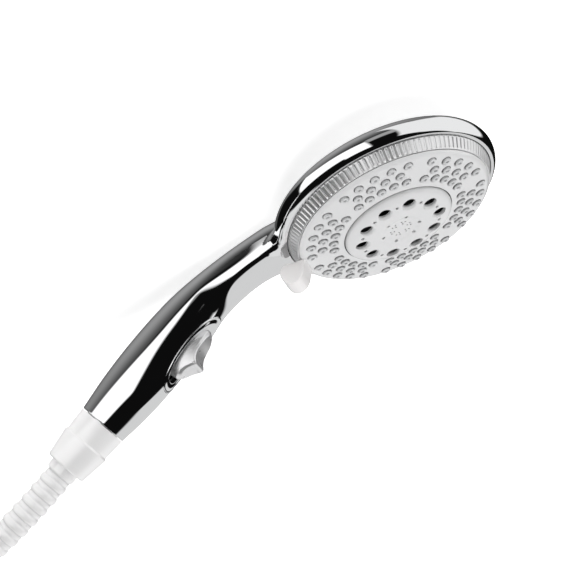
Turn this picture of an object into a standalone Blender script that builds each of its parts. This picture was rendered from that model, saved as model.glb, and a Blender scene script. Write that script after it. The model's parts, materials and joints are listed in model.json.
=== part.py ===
"""A handheld shower head with a lever-turned spray face, a flow slide and a metal hose.

The handset lies on its back with the spray face up. Each piece is its own object. The head and handle are drawn
in the head's own frame: the spray leaves along +Z and the handle runs along +X from the head's axis.
"""

import math

import bmesh
import bpy
from mathutils import Matrix, Vector


def mm(value):
    return value / 1000.0


# Clearances
GAP = mm(0.4)  # between pieces that are assembled together
SEAT_GAP = mm(0.3)  # between faces that rest on each other

# Head shell
SHELL_RADIUS = mm(55.2)
RIM_WIDTH = mm(3.9)
OPENING_RADIUS = SHELL_RADIUS - RIM_WIDTH
LIP_RADIUS = OPENING_RADIUS + mm(0.4)
WIDEST_DEPTH = mm(5.2)
SHOULDER_RADIUS = mm(6.0)
DOME_DEPTH = mm(23.5)
SHELL_WALL = mm(2.2)

# Handle
HANDLE_REACH = mm(163.3)  # from the head's axis to the centre of the handle's end face
HANDLE_RISE = mm(31.2)  # how far that end face stands towards the spray side
HANDLE_END_ANGLE = math.radians(24.6)
HANDLE_END_PULL = mm(62)
NECK_REACH = SHELL_RADIUS + mm(0.8)
NECK_HEIGHT = mm(-9.9)
NECK_PULL = mm(34)
ROOT_REACH = mm(24)  # where the neck ends inside the head
HANDLE_WALL = mm(2.4)
HANDLE_END_RADIUS = mm(11.9)
BELLY_THICKNESS = mm(14.35)
NECK_THICKNESS = mm(9.0)
# share of the handle's length from its end, half thickness, half width
HANDLE_STATIONS = (
    (0.00, HANDLE_END_RADIUS, HANDLE_END_RADIUS),
    (0.18, BELLY_THICKNESS * 0.985, BELLY_THICKNESS * 1.01),
    (0.30, BELLY_THICKNESS, BELLY_THICKNESS * 1.04),
    (0.46, BELLY_THICKNESS * 0.96, BELLY_THICKNESS * 1.02),
    (0.58, BELLY_THICKNESS * 0.87, BELLY_THICKNESS * 0.96),
    (0.73, NECK_THICKNESS * 1.11, NECK_THICKNESS * 1.32),
    (0.85, NECK_THICKNESS, NECK_THICKNESS * 1.30),
    (1.00, NECK_THICKNESS * 1.03, NECK_THICKNESS * 1.50),
)
HANDLE_RINGS = 16
HANDLE_SIDES = 24

# Turning spray face
RING_TAPER = mm(2.7)
RING_TOP_RADIUS = OPENING_RADIUS - GAP - RING_TAPER
RING_HEIGHT = mm(5.2)
RING_SKIRT = mm(4.0)
RING_WALL = mm(1.2)
PLATE_THICKNESS = mm(1.8)
PLATE_OVERHANG = mm(0.6)
PLATE_EDGE_HEIGHT = mm(5.6)
PLATE_EDGE_FALL = mm(3.2)
PLATE_INNER_HEIGHT = mm(9.55)
PLATE_SLOPE = 0.112
PLATE_CURVE = 1.0  # per metre
DISC_RADIUS = mm(26.6)
DISC_CROWN = mm(13.4)
DISC_SKIRT_WALL = mm(1.4)
NOZZLE_MARGIN = mm(5.0)  # from the plate's edge to the outer row
NOZZLE_INNER_MARGIN = mm(5.5)  # from the disc's edge to the inner row
NOZZLE_PITCH = mm(5.0)  # least distance between rows
NOZZLES_IN_ROW = (5, 4)  # in one sector, taken in turn
NOZZLE_STEP = math.radians(11.0)
SECTORS = 6
NOZZLE_HOLE_RADIUS = mm(2.25)
NOZZLE_RADIUS = mm(1.8)
NOZZLE_STAND = mm(0.9)  # above the plate
MAT_THICKNESS = mm(1.5)
JET_COUNT = 10
JET_CIRCLE = DISC_RADIUS - mm(7.0)
JET_RADIUS = mm(2.6)
JET_TURN = math.radians(28.0)
LEVER_WIDTH = mm(15)

# Inside the head
POST_RADIUS = mm(3.2)
SCREW_RADIUS = mm(1.6)
CHAMBER_TOP = mm(-6.2)
CHAMBER_THICKNESS = mm(1.8)
DIVERTER_TOP = mm(-2.7)
DIVERTER_THICKNESS = mm(1.6)
CORE_FLOOR = mm(-2.4)
CORE_THICKNESS = mm(1.5)
CORE_WALL = mm(1.4)
PORT_CIRCLE = DISC_RADIUS - mm(7.6)
PORT_RADIUS = mm(3.2)
AXLE_RADIUS = mm(1.2)
TURBINE_RADIUS = DISC_RADIUS - mm(7.1)
TURBINE_VANES = 6
GASKET_CIRCLE = PORT_CIRCLE + PORT_RADIUS + mm(4.0)
DETENT_CIRCLE = GASKET_CIRCLE + mm(9.8)
BALL_RADIUS = mm(1.9)

# Flow slide on the handle
SLIDE_DISTANCE = mm(50.8)  # along the handle from its end face
SLIDE_LEAN = math.radians(0.85)  # steeper than the handle's front there
SLIDE_STAND = mm(0.3)
BEZEL_LENGTH = mm(43)
BEZEL_WIDTH = mm(18.6)
BEZEL_DEPTH = mm(5.2)
DISH_DEPTH = mm(1.2)
BUTTON_LENGTH = mm(27.2)
BUTTON_WIDTH = mm(14)
BUTTON_RIDGE = mm(6.4)
BUTTON_TRAVEL = mm(3.0)
VALVE_DEPTH = mm(13.5)
VALVE_LENGTH = mm(34)
VALVE_RADIUS = mm(7.4)
SPOOL_RADIUS = mm(3.3)
SPOOL_LENGTH = mm(25)
PEG_RADIUS = mm(1.5)
TUBE_RADIUS = mm(3.2)
TUBE_WALL = mm(1.0)

# Inlet and hose fittings, along the handle's end axis
THREAD_RADIUS = mm(10.4)
THREAD_LENGTH = mm(11)
NIPPLE_DEPTH = mm(14)
NIPPLE_RADIUS = mm(9.0)
WATERWAY_RADIUS = mm(5.0)
NUT_WALL = mm(1.2)
NUT_RADIUS = THREAD_RADIUS + GAP + NUT_WALL
NUT_LENGTH = mm(26)
FLANGE_RADIUS = THREAD_RADIUS - mm(0.2)
SLEEVE_RADIUS = mm(7.2)
SLEEVE_BORE = mm(4.6)
NUT_TIP_RADIUS = SLEEVE_RADIUS + mm(2.9)
SLEEVE_END = mm(30)

# Hose
HOSE_DIAMETER = mm(14)
COIL_CENTRE = Vector((mm(325), mm(-45)))
COIL_INNER_RADIUS = mm(61)
COIL_OUTER_RADIUS = mm(89)
COIL_BASE = mm(1.5)
COIL_HEIGHT = mm(27)
TIE_WIDTH = mm(14)
TIE_THICKNESS = mm(1.2)
HOSE_ROUTE = (
    (131.9, 0.0, 52.6),
    (147.0, 0.2, 57.9),
    (163.0, 0.8, 62.5),
    (180.0, 2.5, 65.2),
    (197.0, 6.2, 64.8),
    (213.0, 11.4, 61.0),
    (228.0, 17.6, 54.0),
    (242.0, 24.3, 44.6),
    (255.0, 31.0, 34.0),
    (268.0, 37.3, 23.8),
    (281.0, 42.6, 15.6),
    (294.0, 46.9, 10.6),
)
TAIL_ROUTE = (
    (263.0, -120.0, 16.4),
    (250.0, -120.0, 13.9),
    (237.0, -120.0, 12.4),
    (230.0, -120.0, 12.1),
    (223.0, -120.0, 12.1),
)
HOSE_STEP = mm(17)
END_NUT_CORNER = mm(3.0)  # from the thread to a corner
END_NUT_START = mm(6)
END_NUT_LENGTH = mm(20)

HEAD_SIDES = 56
TURNED_SIDES = 48
INNER_SIDES = 32
SMALL_SIDES = 20


# ---------------------------------------------------------------- scene and materials


def clear_scene():
    for old in list(bpy.data.objects):
        bpy.data.objects.remove(old, do_unlink=True)


def make_material(name, colour, roughness, metallic=0.0):
    material = bpy.data.materials.new(name)
    material.use_nodes = True
    shader = material.node_tree.nodes["Principled BSDF"]
    shader.inputs["Base Color"].default_value = (*colour, 1.0)
    shader.inputs["Roughness"].default_value = roughness
    shader.inputs["Metallic"].default_value = metallic
    return material


clear_scene()
PARTS = bpy.data.collections.new("handheld_shower_head")
GUIDES = bpy.data.collections.new("cutters")
bpy.context.scene.collection.children.link(PARTS)
bpy.context.scene.collection.children.link(GUIDES)

CHROME = make_material("chrome", (0.86, 0.87, 0.88), 0.06, 1.0)
WHITE = make_material("white_plastic", (0.82, 0.82, 0.83), 0.25)
GREY_RUBBER = make_material("grey_rubber", (0.45, 0.46, 0.48), 0.6)
INNER_PLASTIC = make_material("inner_plastic", (0.70, 0.70, 0.68), 0.5)
BRASS = make_material("brass", (0.78, 0.60, 0.30), 0.3, 1.0)
STEEL = make_material("steel", (0.60, 0.61, 0.62), 0.25, 1.0)
BLACK_RUBBER = make_material("black_rubber", (0.03, 0.03, 0.03), 0.7)
HOSE_METAL = make_material("hose_metal", (0.90, 0.90, 0.91), 0.2, 1.0)


def add_object(name, mesh, material, parent, collection=None):
    obj = bpy.data.objects.new(name, mesh)
    (collection or PARTS).objects.link(obj)
    obj.parent = parent
    if material is not None:
        obj.data.materials.append(material)
    return obj


def add_empty(name, parent=None, location=(0, 0, 0), turn_y=0.0):
    empty = bpy.data.objects.new(name, None)
    PARTS.objects.link(empty)
    empty.parent = parent
    empty.location = location
    empty.rotation_euler = (0.0, turn_y, 0.0)
    return empty


# ---------------------------------------------------------------- modelling helpers


def arc(centre, radii, start, end, count):
    """Points along an ellipse's arc in an outline's plane, angles in degrees from the outline's first axis."""
    points = []
    for index in range(count + 1):
        angle = math.radians(start + (end - start) * index / count)
        points.append((centre[0] + radii[0] * math.cos(angle), centre[1] + radii[1] * math.sin(angle)))
    return points


def signed_area(outline):
    pairs = zip(outline, outline[1:] + outline[:1])
    return sum(a[0] * b[1] - b[0] * a[1] for a, b in pairs) / 2.0


def turned(name, outline, material, parent, sides=TURNED_SIDES):
    """A solid of revolution about local Z. The outline is closed, unless its two ends lie on the axis."""
    outline = list(outline)
    if signed_area(outline) > 0:
        outline.reverse()
    on_axis = [index for index, point in enumerate(outline) if point[0] == 0]
    if on_axis:
        # Start at the axis point that comes just after the other one, so that no edge runs along the axis.
        start = next(index for index in on_axis if outline[index - 1][0] == 0 or len(on_axis) == 1)
        outline = outline[start:] + outline[:start]
    mesh = bpy.data.meshes.new(name)
    count = len(outline)
    edges = [(index, index + 1) for index in range(count - 1)]
    if not on_axis:
        edges.append((count - 1, 0))
    mesh.from_pydata([(x, 0.0, z) for x, z in outline], edges, [])
    obj = add_object(name, mesh, material, parent)
    screw = obj.modifiers.new("Turn", "SCREW")
    screw.steps = screw.render_steps = sides
    screw.use_merge_vertices = bool(on_axis)
    screw.merge_threshold = 0.00001
    return obj


def closed_mesh(name, build):
    """A mesh filled in by build(bm), with its faces turned outwards."""
    bm = bmesh.new()
    build(bm)
    bmesh.ops.recalc_face_normals(bm, faces=bm.faces)
    mesh = bpy.data.meshes.new(name)
    bm.to_mesh(mesh)
    bm.free()
    return mesh


def bridge(bm, first, second):
    count = len(first)
    for index in range(count):
        after = (index + 1) % count
        bm.faces.new((first[index], first[after], second[after], second[index]))


def lofted(name, rings, material, parent):
    """A solid through closed rings of points."""

    def build(bm):
        loops = [[bm.verts.new(point) for point in ring] for ring in rings]
        for first, second in zip(loops, loops[1:]):
            bridge(bm, first, second)
        bm.faces.new(loops[0])
        bm.faces.new(loops[-1])

    return add_object(name, closed_mesh(name, build), material, parent)


def frames_along(points):
    """For each point of a path in space: the point, and two directions square to the path."""
    side = None
    frames = []
    for index, point in enumerate(points):
        before = points[max(index - 1, 0)]
        after = points[min(index + 1, len(points) - 1)]
        tangent = (after - before).normalized()
        if side is None:
            side = Vector((0, 1, 0))
        side = (side - side.dot(tangent) * tangent).normalized()
        frames.append((point, side, tangent.cross(side)))
    return frames


def pipe(name, points, outer, inner, material, parent, sides=12):
    """A hollow tube along a path."""

    def build(bm):
        outside, inside = [], []
        for point, side, up in frames_along(points):
            for radius, loops in ((outer, outside), (inner, inside)):
                angles = [2 * math.pi * index / sides for index in range(sides)]
                loops.append([
                    bm.verts.new(point + radius * (math.cos(a) * side + math.sin(a) * up)) for a in angles
                ])
        for loops in (outside, inside):
            for first, second in zip(loops, loops[1:]):
                bridge(bm, first, second)
        bridge(bm, outside[0], inside[0])
        bridge(bm, outside[-1], inside[-1])

    return add_object(name, closed_mesh(name, build), material, parent)


def extruded(name, outline, low, high, material, parent, plane="XY"):
    """A flat outline made thick. Plane XY runs it along Z from low to high, and plane XZ along Y."""

    def place(point, depth):
        return (point[0], point[1], depth) if plane == "XY" else (point[0], depth, point[1])

    def build(bm):
        face = bm.faces.new([bm.verts.new(place(point, low)) for point in outline])
        grown = bmesh.ops.extrude_face_region(bm, geom=[face])
        moved = [item for item in grown["geom"] if isinstance(item, bmesh.types.BMVert)]
        shift = (0, 0, high - low) if plane == "XY" else (0, high - low, 0)
        bmesh.ops.translate(bm, verts=moved, vec=shift)

    return add_object(name, closed_mesh(name, build), material, parent)


def rods(name, places, low, high, base_radius, tip_radius, sides, material, parent):
    """Upright rods as one mesh of separate bodies. places gives x, y and the height that low and high count from."""

    def build(bm):
        for x, y, foot in places:
            shift = Matrix.Translation((x, y, foot + (low + high) / 2))
            bmesh.ops.create_cone(
                bm, cap_ends=True, segments=sides, radius1=base_radius, radius2=tip_radius,
                depth=high - low, matrix=shift,
            )

    return add_object(name, closed_mesh(name, build), material, parent)


def block(name, size, centre, material, parent):
    def build(bm):
        bmesh.ops.create_cube(bm, size=1.0)
        bmesh.ops.scale(bm, vec=size, verts=bm.verts)
        bmesh.ops.translate(bm, vec=centre, verts=bm.verts)

    return add_object(name, closed_mesh(name, build), material, parent)


def as_guide(obj):
    obj.hide_render = True
    obj.display_type = "WIRE"
    for collection in list(obj.users_collection):
        collection.objects.unlink(obj)
    GUIDES.objects.link(obj)
    return obj


def combine(obj, other, operation="DIFFERENCE"):
    """Cuts obj by other, or joins them. The other object becomes a guide."""
    if not other.hide_render:
        as_guide(other)
    boolean = obj.modifiers.new(operation.title(), "BOOLEAN")
    boolean.operation = operation
    boolean.object = other
    return obj


def around(count, radius, start=0.0):
    """Points spaced evenly round a circle."""
    step = 2 * math.pi / count
    return [(radius * math.cos(start + step * i), radius * math.sin(start + step * i)) for i in range(count)]


def oval(half_length, half_width, count=28):
    """A rounded oval, fuller at its ends than an ellipse."""
    points = []
    for index in range(count):
        angle = 2 * math.pi * index / count
        c, s = math.cos(angle), math.sin(angle)
        points.append((
            half_length * math.copysign(abs(c) ** 0.9, c),
            half_width * math.copysign(abs(s) ** 0.9, s),
        ))
    return points


def through(points, step):
    """Points at even steps along a smooth curve through the points given."""
    nodes = [Vector(point) for point in points]
    nodes = [2 * nodes[0] - nodes[1]] + nodes + [2 * nodes[-1] - nodes[-2]]
    fine = []
    for p0, p1, p2, p3 in zip(nodes, nodes[1:], nodes[2:], nodes[3:]):
        for index in range(16):
            t = index / 16
            fine.append(0.5 * (
                2 * p1 + (p2 - p0) * t + (2 * p0 - 5 * p1 + 4 * p2 - p3) * t ** 2
                + (3 * p1 - p0 - 3 * p2 + p3) * t ** 3
            ))
    fine.append(nodes[-2])
    spans = [(b - a).length for a, b in zip(fine, fine[1:])]
    count = max(2, round(sum(spans) / step))
    walked, index, result = 0.0, 0, []
    for stop in range(count):
        target = sum(spans) * stop / count
        while walked + spans[index] < target:
            walked += spans[index]
            index += 1
        result.append(fine[index].lerp(fine[index + 1], (target - walked) / spans[index]))
    return result + [fine[-1]]


# ---------------------------------------------------------------- the handle's form


def handle_centre(t):
    """A point of the handle's centreline, t from 0 at its end face to 1 at the neck."""
    pull = Vector((math.cos(HANDLE_END_ANGLE), math.sin(HANDLE_END_ANGLE))) * HANDLE_END_PULL
    p0 = Vector((HANDLE_REACH, HANDLE_RISE))
    p3 = Vector((NECK_REACH, NECK_HEIGHT))
    p1 = p0 - pull
    p2 = p3 + Vector((NECK_PULL, 0))
    s = 1 - t
    return s ** 3 * p0 + 3 * s * s * t * p1 + 3 * s * t * t * p2 + t ** 3 * p3


def station_sizes(share):
    """Half thickness and half width of the handle, eased between its stations."""
    rows = (HANDLE_STATIONS[0],) + HANDLE_STATIONS + (HANDLE_STATIONS[-1],)
    for before, start, end, after in zip(rows, rows[1:], rows[2:], rows[3:]):
        if share <= end[0] or end is rows[-2]:
            break
    span = end[0] - start[0]
    t = min(max((share - start[0]) / span, 0.0), 1.0)
    sizes = []
    for index in (1, 2):
        slope_in = (end[index] - before[index]) / max(end[0] - before[0], 1e-9) * span
        slope_out = (after[index] - start[index]) / max(after[0] - start[0], 1e-9) * span
        sizes.append(
            (2 * t ** 3 - 3 * t * t + 1) * start[index] + (t ** 3 - 2 * t * t + t) * slope_in
            + (3 * t * t - 2 * t ** 3) * end[index] + (t ** 3 - t * t) * slope_out
        )
    return sizes


def handle_samples():
    """Points along the handle's centreline, and how far each is from the end face."""
    samples = [handle_centre(index / 200) for index in range(201)]
    lengths = [0.0]
    for a, b in zip(samples, samples[1:]):
        lengths.append(lengths[-1] + (b - a).length)
    return samples, lengths


def handle_station(distance):
    """Centre, direction towards the neck, half thickness and half width at a distance from the end face."""
    samples, lengths = handle_samples()
    index = next(i for i, length in enumerate(lengths) if length >= distance - 1e-9)
    near, far = samples[max(index - 1, 0)], samples[min(index + 1, 200)]
    return (samples[index], (far - near).normalized(), *station_sizes(distance / lengths[-1]))


def handle_front(distance):
    """The point of the handle's front, the side with the slide, at a distance from the end face."""
    centre, towards, thick, _ = handle_station(distance)
    return centre + Vector((towards.y, -towards.x)) * thick


def slide_place():
    """Where the slide sits on the handle's front, and its lean."""
    point = handle_front(SLIDE_DISTANCE)
    run = handle_front(SLIDE_DISTANCE - BUTTON_LENGTH / 2) - handle_front(SLIDE_DISTANCE + BUTTON_LENGTH / 2)
    angle = math.atan2(run.y, run.x) + SLIDE_LEAN
    return point + SLIDE_STAND * Vector((-math.sin(angle), math.cos(angle))), angle


def handle_sections():
    """The handle's stations from its end face to inside the head."""
    length = handle_samples()[1][-1]
    sections = [handle_station(length * ring / (HANDLE_RINGS - 1)) for ring in range(HANDLE_RINGS)]
    centre, _, thick, wide = sections[-1]
    towards = Vector((-1, 0))
    sections.append((Vector((ROOT_REACH, centre.y)), towards, thick, wide))
    return sections


def handle_ring(section, wall=0.0, shift=0.0):
    centre, towards, thick, wide = section
    up = Vector((towards.y, -towards.x))
    centre = centre + shift * towards
    points = []
    for index in range(HANDLE_SIDES):
        angle = 2 * math.pi * index / HANDLE_SIDES
        height = (thick - wall) * math.cos(angle)
        points.append((
            centre.x + up.x * height,
            (wide - wall) * math.sin(angle),
            centre.y + up.y * height,
        ))
    return points


def handle_back():
    """Points along the handle's back, in the head's X and Z."""
    points = []
    for centre, towards, thick, _ in handle_sections()[:-1]:
        up = Vector((towards.y, -towards.x))
        points += [centre + up * thick, centre - up * thick]
    return points


# ---------------------------------------------------------------- the head's form


def dome_radius():
    """The sphere that the shoulder runs into, and the height of its centre."""
    reach = SHELL_RADIUS - SHOULDER_RADIUS
    depth = DOME_DEPTH - WIDEST_DEPTH
    radius = (reach ** 2 + depth ** 2 - SHOULDER_RADIUS ** 2) / (2 * (depth - SHOULDER_RADIUS))
    return radius, radius - DOME_DEPTH


def dome_arc(radius, centre_height, reach, count=8):
    """The dome from its deepest point out to a distance from the axis."""
    limit = math.asin(reach / radius)
    return [
        (radius * math.sin(limit * i / count), centre_height - radius * math.cos(limit * i / count))
        for i in range(count + 1)
    ]


def shell_outline():
    radius, centre_height = dome_radius()
    shoulder = (SHELL_RADIUS - SHOULDER_RADIUS, -WIDEST_DEPTH)
    tangent = math.degrees(math.atan2(centre_height - shoulder[1], shoulder[0]))
    reach = shoulder[0] + SHOULDER_RADIUS * math.cos(math.radians(tangent))
    outline = dome_arc(radius, centre_height, reach)
    outline += arc(shoulder, (SHOULDER_RADIUS, SHOULDER_RADIUS), -tangent, 0, 4)[1:]
    outline += arc((LIP_RADIUS, -WIDEST_DEPTH), (SHELL_RADIUS - LIP_RADIUS, WIDEST_DEPTH), 0, 90, 4)[1:]
    return outline + [(0.0, 0.0)]


def cavity_outline():
    radius, centre_height = dome_radius()
    inner = radius - SHELL_WALL
    return dome_arc(inner, centre_height, OPENING_RADIUS) + [(OPENING_RADIUS, mm(5)), (0.0, mm(5))]


def dome_inside(reach):
    """Height of the shell's inner face at a distance from the axis."""
    radius, centre_height = dome_radius()
    return centre_height - math.sqrt((radius - SHELL_WALL) ** 2 - reach ** 2)


def rest_tilt():
    """The tilt at which the dome and the handle's back both touch the surface under the handset."""
    radius, centre_height = dome_radius()
    low, high = 0.0, math.radians(30)
    for _ in range(40):
        tilt = (low + high) / 2
        dome_low = centre_height * math.cos(tilt) - radius
        back_low = min(p.y * math.cos(tilt) - p.x * math.sin(tilt) for p in handle_back())
        low, high = (tilt, high) if back_low > dome_low else (low, tilt)
    return tilt, -(centre_height * math.cos(tilt) - radius)


def plate_top(reach):
    """Height of the spray plate's face, a shallow crown that rounds off at its edge."""
    out = max(reach - DISC_RADIUS - GAP, 0.0)
    crown = PLATE_INNER_HEIGHT - PLATE_SLOPE * out - PLATE_CURVE * out ** 2
    edge = RING_TOP_RADIUS - PLATE_OVERHANG - reach
    if edge < PLATE_EDGE_FALL:
        crown -= (crown - PLATE_EDGE_HEIGHT) * (1 - edge / PLATE_EDGE_FALL) ** 3
    return crown


def plate_reaches():
    outer = RING_TOP_RADIUS - PLATE_OVERHANG
    steps = (0.0, 0.3, 0.6, 0.86, 0.95, 1.0)
    return [DISC_RADIUS + GAP + (outer - DISC_RADIUS - GAP) * step for step in steps]


# ---------------------------------------------------------------- frames

TILT, REST_HEIGHT = rest_tilt()
nipple_tip = Vector((HANDLE_REACH, HANDLE_RISE)) + THREAD_LENGTH * Vector(
    (math.cos(HANDLE_END_ANGLE), math.sin(HANDLE_END_ANGLE))
) + THREAD_RADIUS * Vector((math.sin(HANDLE_END_ANGLE), -math.cos(HANDLE_END_ANGLE)))
FAR_END = nipple_tip.x * math.cos(TILT) + nipple_tip.y * math.sin(TILT)
NEAR_END = -SHELL_RADIUS * math.cos(TILT) - WIDEST_DEPTH * math.sin(TILT)

handset = add_empty("handset", None, (-(FAR_END + NEAR_END) / 2, 0, REST_HEIGHT), TILT)
SLIDE_POINT, SLIDE_ANGLE = slide_place()
slide_axis = add_empty("slide_axis", handset, (SLIDE_POINT.x, 0, SLIDE_POINT.y), -SLIDE_ANGLE)
inlet_axis = add_empty("inlet_axis", handset, (HANDLE_REACH, 0, HANDLE_RISE), math.pi / 2 - HANDLE_END_ANGLE)


# ---------------------------------------------------------------- body shell


def make_body_shell():
    """Handle and head back in one chromed moulding, open at the face, the button and the inlet."""
    sections = handle_sections()
    shell = lofted("body_shell", [handle_ring(section) for section in sections], CHROME, handset)
    combine(shell, turned("head_form", shell_outline(), None, handset, HEAD_SIDES), "UNION")
    bore_rings = [handle_ring(sections[0], HANDLE_WALL, -mm(2))]
    bore_rings += [handle_ring(section, HANDLE_WALL) for section in sections]
    combine(shell, lofted("handle_bore", bore_rings, None, handset))
    combine(shell, turned("head_cavity", cavity_outline(), None, handset, HEAD_SIDES))
    window = oval(BEZEL_LENGTH / 2, BEZEL_WIDTH / 2)
    combine(shell, extruded("button_window", window, -BEZEL_DEPTH - mm(3), mm(8), None, slide_axis))
    return shell


make_body_shell()


# ---------------------------------------------------------------- turning spray face


def nozzle_rows():
    """Each row's radius and its nozzles in one sector, from the outer row in."""
    outer = RING_TOP_RADIUS - PLATE_OVERHANG - NOZZLE_MARGIN
    inner = DISC_RADIUS + NOZZLE_INNER_MARGIN
    spaces = int((outer - inner) / NOZZLE_PITCH)
    pitch = (outer - inner) / max(spaces, 1)
    return [(outer - pitch * row, NOZZLES_IN_ROW[row % 2]) for row in range(spaces + 1)]


def nozzle_places():
    places = []
    for sector in range(SECTORS):
        middle = 2 * math.pi * (sector + 0.5) / SECTORS
        for radius, count in nozzle_rows():
            for index in range(count):
                angle = middle + NOZZLE_STEP * (index - (count - 1) / 2)
                places.append((radius * math.cos(angle), radius * math.sin(angle), plate_top(radius)))
    return places


def make_lever():
    inner = RING_TOP_RADIUS - mm(1.7)
    under = PLATE_EDGE_HEIGHT + mm(0.1)
    tip = OPENING_RADIUS + mm(8.3)
    outline = [
        (inner, under), (OPENING_RADIUS + mm(0.6), under), (OPENING_RADIUS + mm(0.9), mm(3.4)),
        (tip - mm(3.2), mm(3.2)), (tip - mm(0.8), mm(5.5)), (tip, mm(10)), (tip - mm(1.4), mm(14.3)),
        (tip - mm(4.6), mm(16.2)), (inner + mm(5.0), mm(15.8)), (inner + mm(2.3), mm(13.2)),
        (inner + mm(0.4), mm(8.4)), (inner, mm(7.0)),
    ]
    lever = extruded("lever_form", outline, -LEVER_WIDTH / 2, LEVER_WIDTH / 2, None, handset, "XZ")
    bevel = lever.modifiers.new("Edge", "BEVEL")
    bevel.width = mm(2.2)
    bevel.segments = 2
    bevel.limit_method = "ANGLE"
    bevel.angle_limit = math.radians(60)
    return lever


def make_spray_plate():
    reaches = plate_reaches()
    outer = reaches[-1]
    skirt = outer - mm(1.2)
    outline = [(reach, plate_top(reach)) for reach in reaches]
    inside = skirt - mm(1.5)
    outline += [(skirt, PLATE_EDGE_HEIGHT - mm(0.1)), (skirt, mm(2.0)), (inside, mm(2.0))]
    under = [reach for reach in reaches if reach < inside - mm(1)] + [inside]
    outline += [(reach, plate_top(reach) - PLATE_THICKNESS) for reach in under[::-1]]
    plate = turned("spray_plate", outline, WHITE, handset)
    combine(plate, make_lever(), "UNION")
    holes = rods(
        "nozzle_holes", nozzle_places(), -mm(4), mm(3), NOZZLE_HOLE_RADIUS, NOZZLE_HOLE_RADIUS, 6, None, handset
    )
    combine(plate, holes)


def make_nozzle_mat():
    inner = DISC_RADIUS + mm(2.0)
    outer = RING_TOP_RADIUS - mm(4.1)
    top = -PLATE_THICKNESS - SEAT_GAP
    reaches = [inner + (outer - inner) * step / 3 for step in range(4)]
    outline = [(reach, plate_top(reach) + top) for reach in reaches]
    outline += [(reach, plate_top(reach) + top - MAT_THICKNESS) for reach in reaches[::-1]]
    mat = turned("nozzle_mat", outline, GREY_RUBBER, handset)
    nozzles = rods(
        "nozzle_forms", nozzle_places(), top - mm(0.8), NOZZLE_STAND, NOZZLE_RADIUS, NOZZLE_RADIUS * 0.86, 6,
        None, handset,
    )
    combine(mat, nozzles, "UNION")


def make_knurled_ring():
    inner = RING_TOP_RADIUS - RING_WALL
    outline = [
        (RING_TOP_RADIUS, RING_HEIGHT), (OPENING_RADIUS - GAP, 0.0), (OPENING_RADIUS - GAP, -RING_SKIRT),
        (OPENING_RADIUS - GAP - mm(2.1), -RING_SKIRT), (inner, mm(0.5)), (inner, RING_HEIGHT),
    ]
    turned("knurled_ring", outline, CHROME, handset)


def make_massage_disc():
    skirt = DISC_RADIUS - mm(0.2)
    inside = skirt - DISC_SKIRT_WALL
    top = [
        (0.0, DISC_CROWN - mm(1.0)), (mm(7.0), DISC_CROWN - mm(1.0)), (mm(8.6), DISC_CROWN - mm(0.3)),
        (mm(14), DISC_CROWN), (DISC_RADIUS - mm(6.6), DISC_CROWN - mm(0.5)),
        (DISC_RADIUS - mm(2.6), DISC_CROWN - mm(1.6)), (DISC_RADIUS - mm(0.6), DISC_CROWN - mm(2.8)),
        (DISC_RADIUS, DISC_CROWN - mm(3.9)), (skirt, DISC_CROWN - mm(5)),
    ]
    bottom = [
        (skirt, CORE_FLOOR + CORE_THICKNESS + GAP), (inside, CORE_FLOOR + CORE_THICKNESS + GAP),
        (inside, DISC_CROWN - mm(4.0)), (inside - mm(1.8), DISC_CROWN - mm(3.2)),
        (JET_CIRCLE, DISC_CROWN - mm(2.1)), (mm(14), DISC_CROWN - mm(1.7)), (0.0, DISC_CROWN - mm(2.5)),
    ]
    disc = turned("massage_disc", top + bottom, WHITE, handset)
    jets = [(x, y, 0.0) for x, y in around(JET_COUNT, JET_CIRCLE, JET_TURN)]
    combine(disc, rods("jet_holes", jets, mm(8.5), mm(16), JET_RADIUS, JET_RADIUS, 10, None, handset))


def make_face_core():
    """The turning cup behind the spray plate, with a wall between the spray channel and the massage chamber."""
    floor = CORE_FLOOR
    top = floor + CORE_THICKNESS
    rim = RING_TOP_RADIUS - mm(3.8)
    divider = DISC_RADIUS + mm(0.2)
    outline = [
        (POST_RADIUS + GAP, floor), (rim, floor), (rim, mm(3.2)), (rim - CORE_WALL, mm(3.2)),
        (rim - CORE_WALL, top), (divider + CORE_WALL, top), (divider + CORE_WALL, mm(5.2)), (divider, mm(5.2)),
        (divider, top), (POST_RADIUS + GAP, top),
    ]
    core = turned("face_core", outline, INNER_PLASTIC, handset, INNER_SIDES)
    ports = [(x, y, 0.0) for x, y in around(3, PORT_CIRCLE)]
    ports += [(x, y, 0.0) for x, y in around(3, (divider + rim) / 2, math.radians(60))]
    combine(core, rods("core_ports", ports, floor - mm(1), top + mm(1), PORT_RADIUS, PORT_RADIUS, 10, None, handset))


def make_diverter():
    low = DIVERTER_TOP - DIVERTER_THICKNESS
    outline = [
        (POST_RADIUS + GAP, low), (RING_TOP_RADIUS - mm(1.7), low), (RING_TOP_RADIUS - mm(1.7), DIVERTER_TOP),
        (POST_RADIUS + GAP, DIVERTER_TOP),
    ]
    disc = turned("diverter_disc", outline, INNER_PLASTIC, handset, INNER_SIDES)
    ports = [(x, y, 0.0) for x, y in around(3, PORT_CIRCLE)]
    combine(disc, rods("diverter_ports", ports, low - mm(1), mm(0), PORT_RADIUS, PORT_RADIUS, 10, None, handset))


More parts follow.
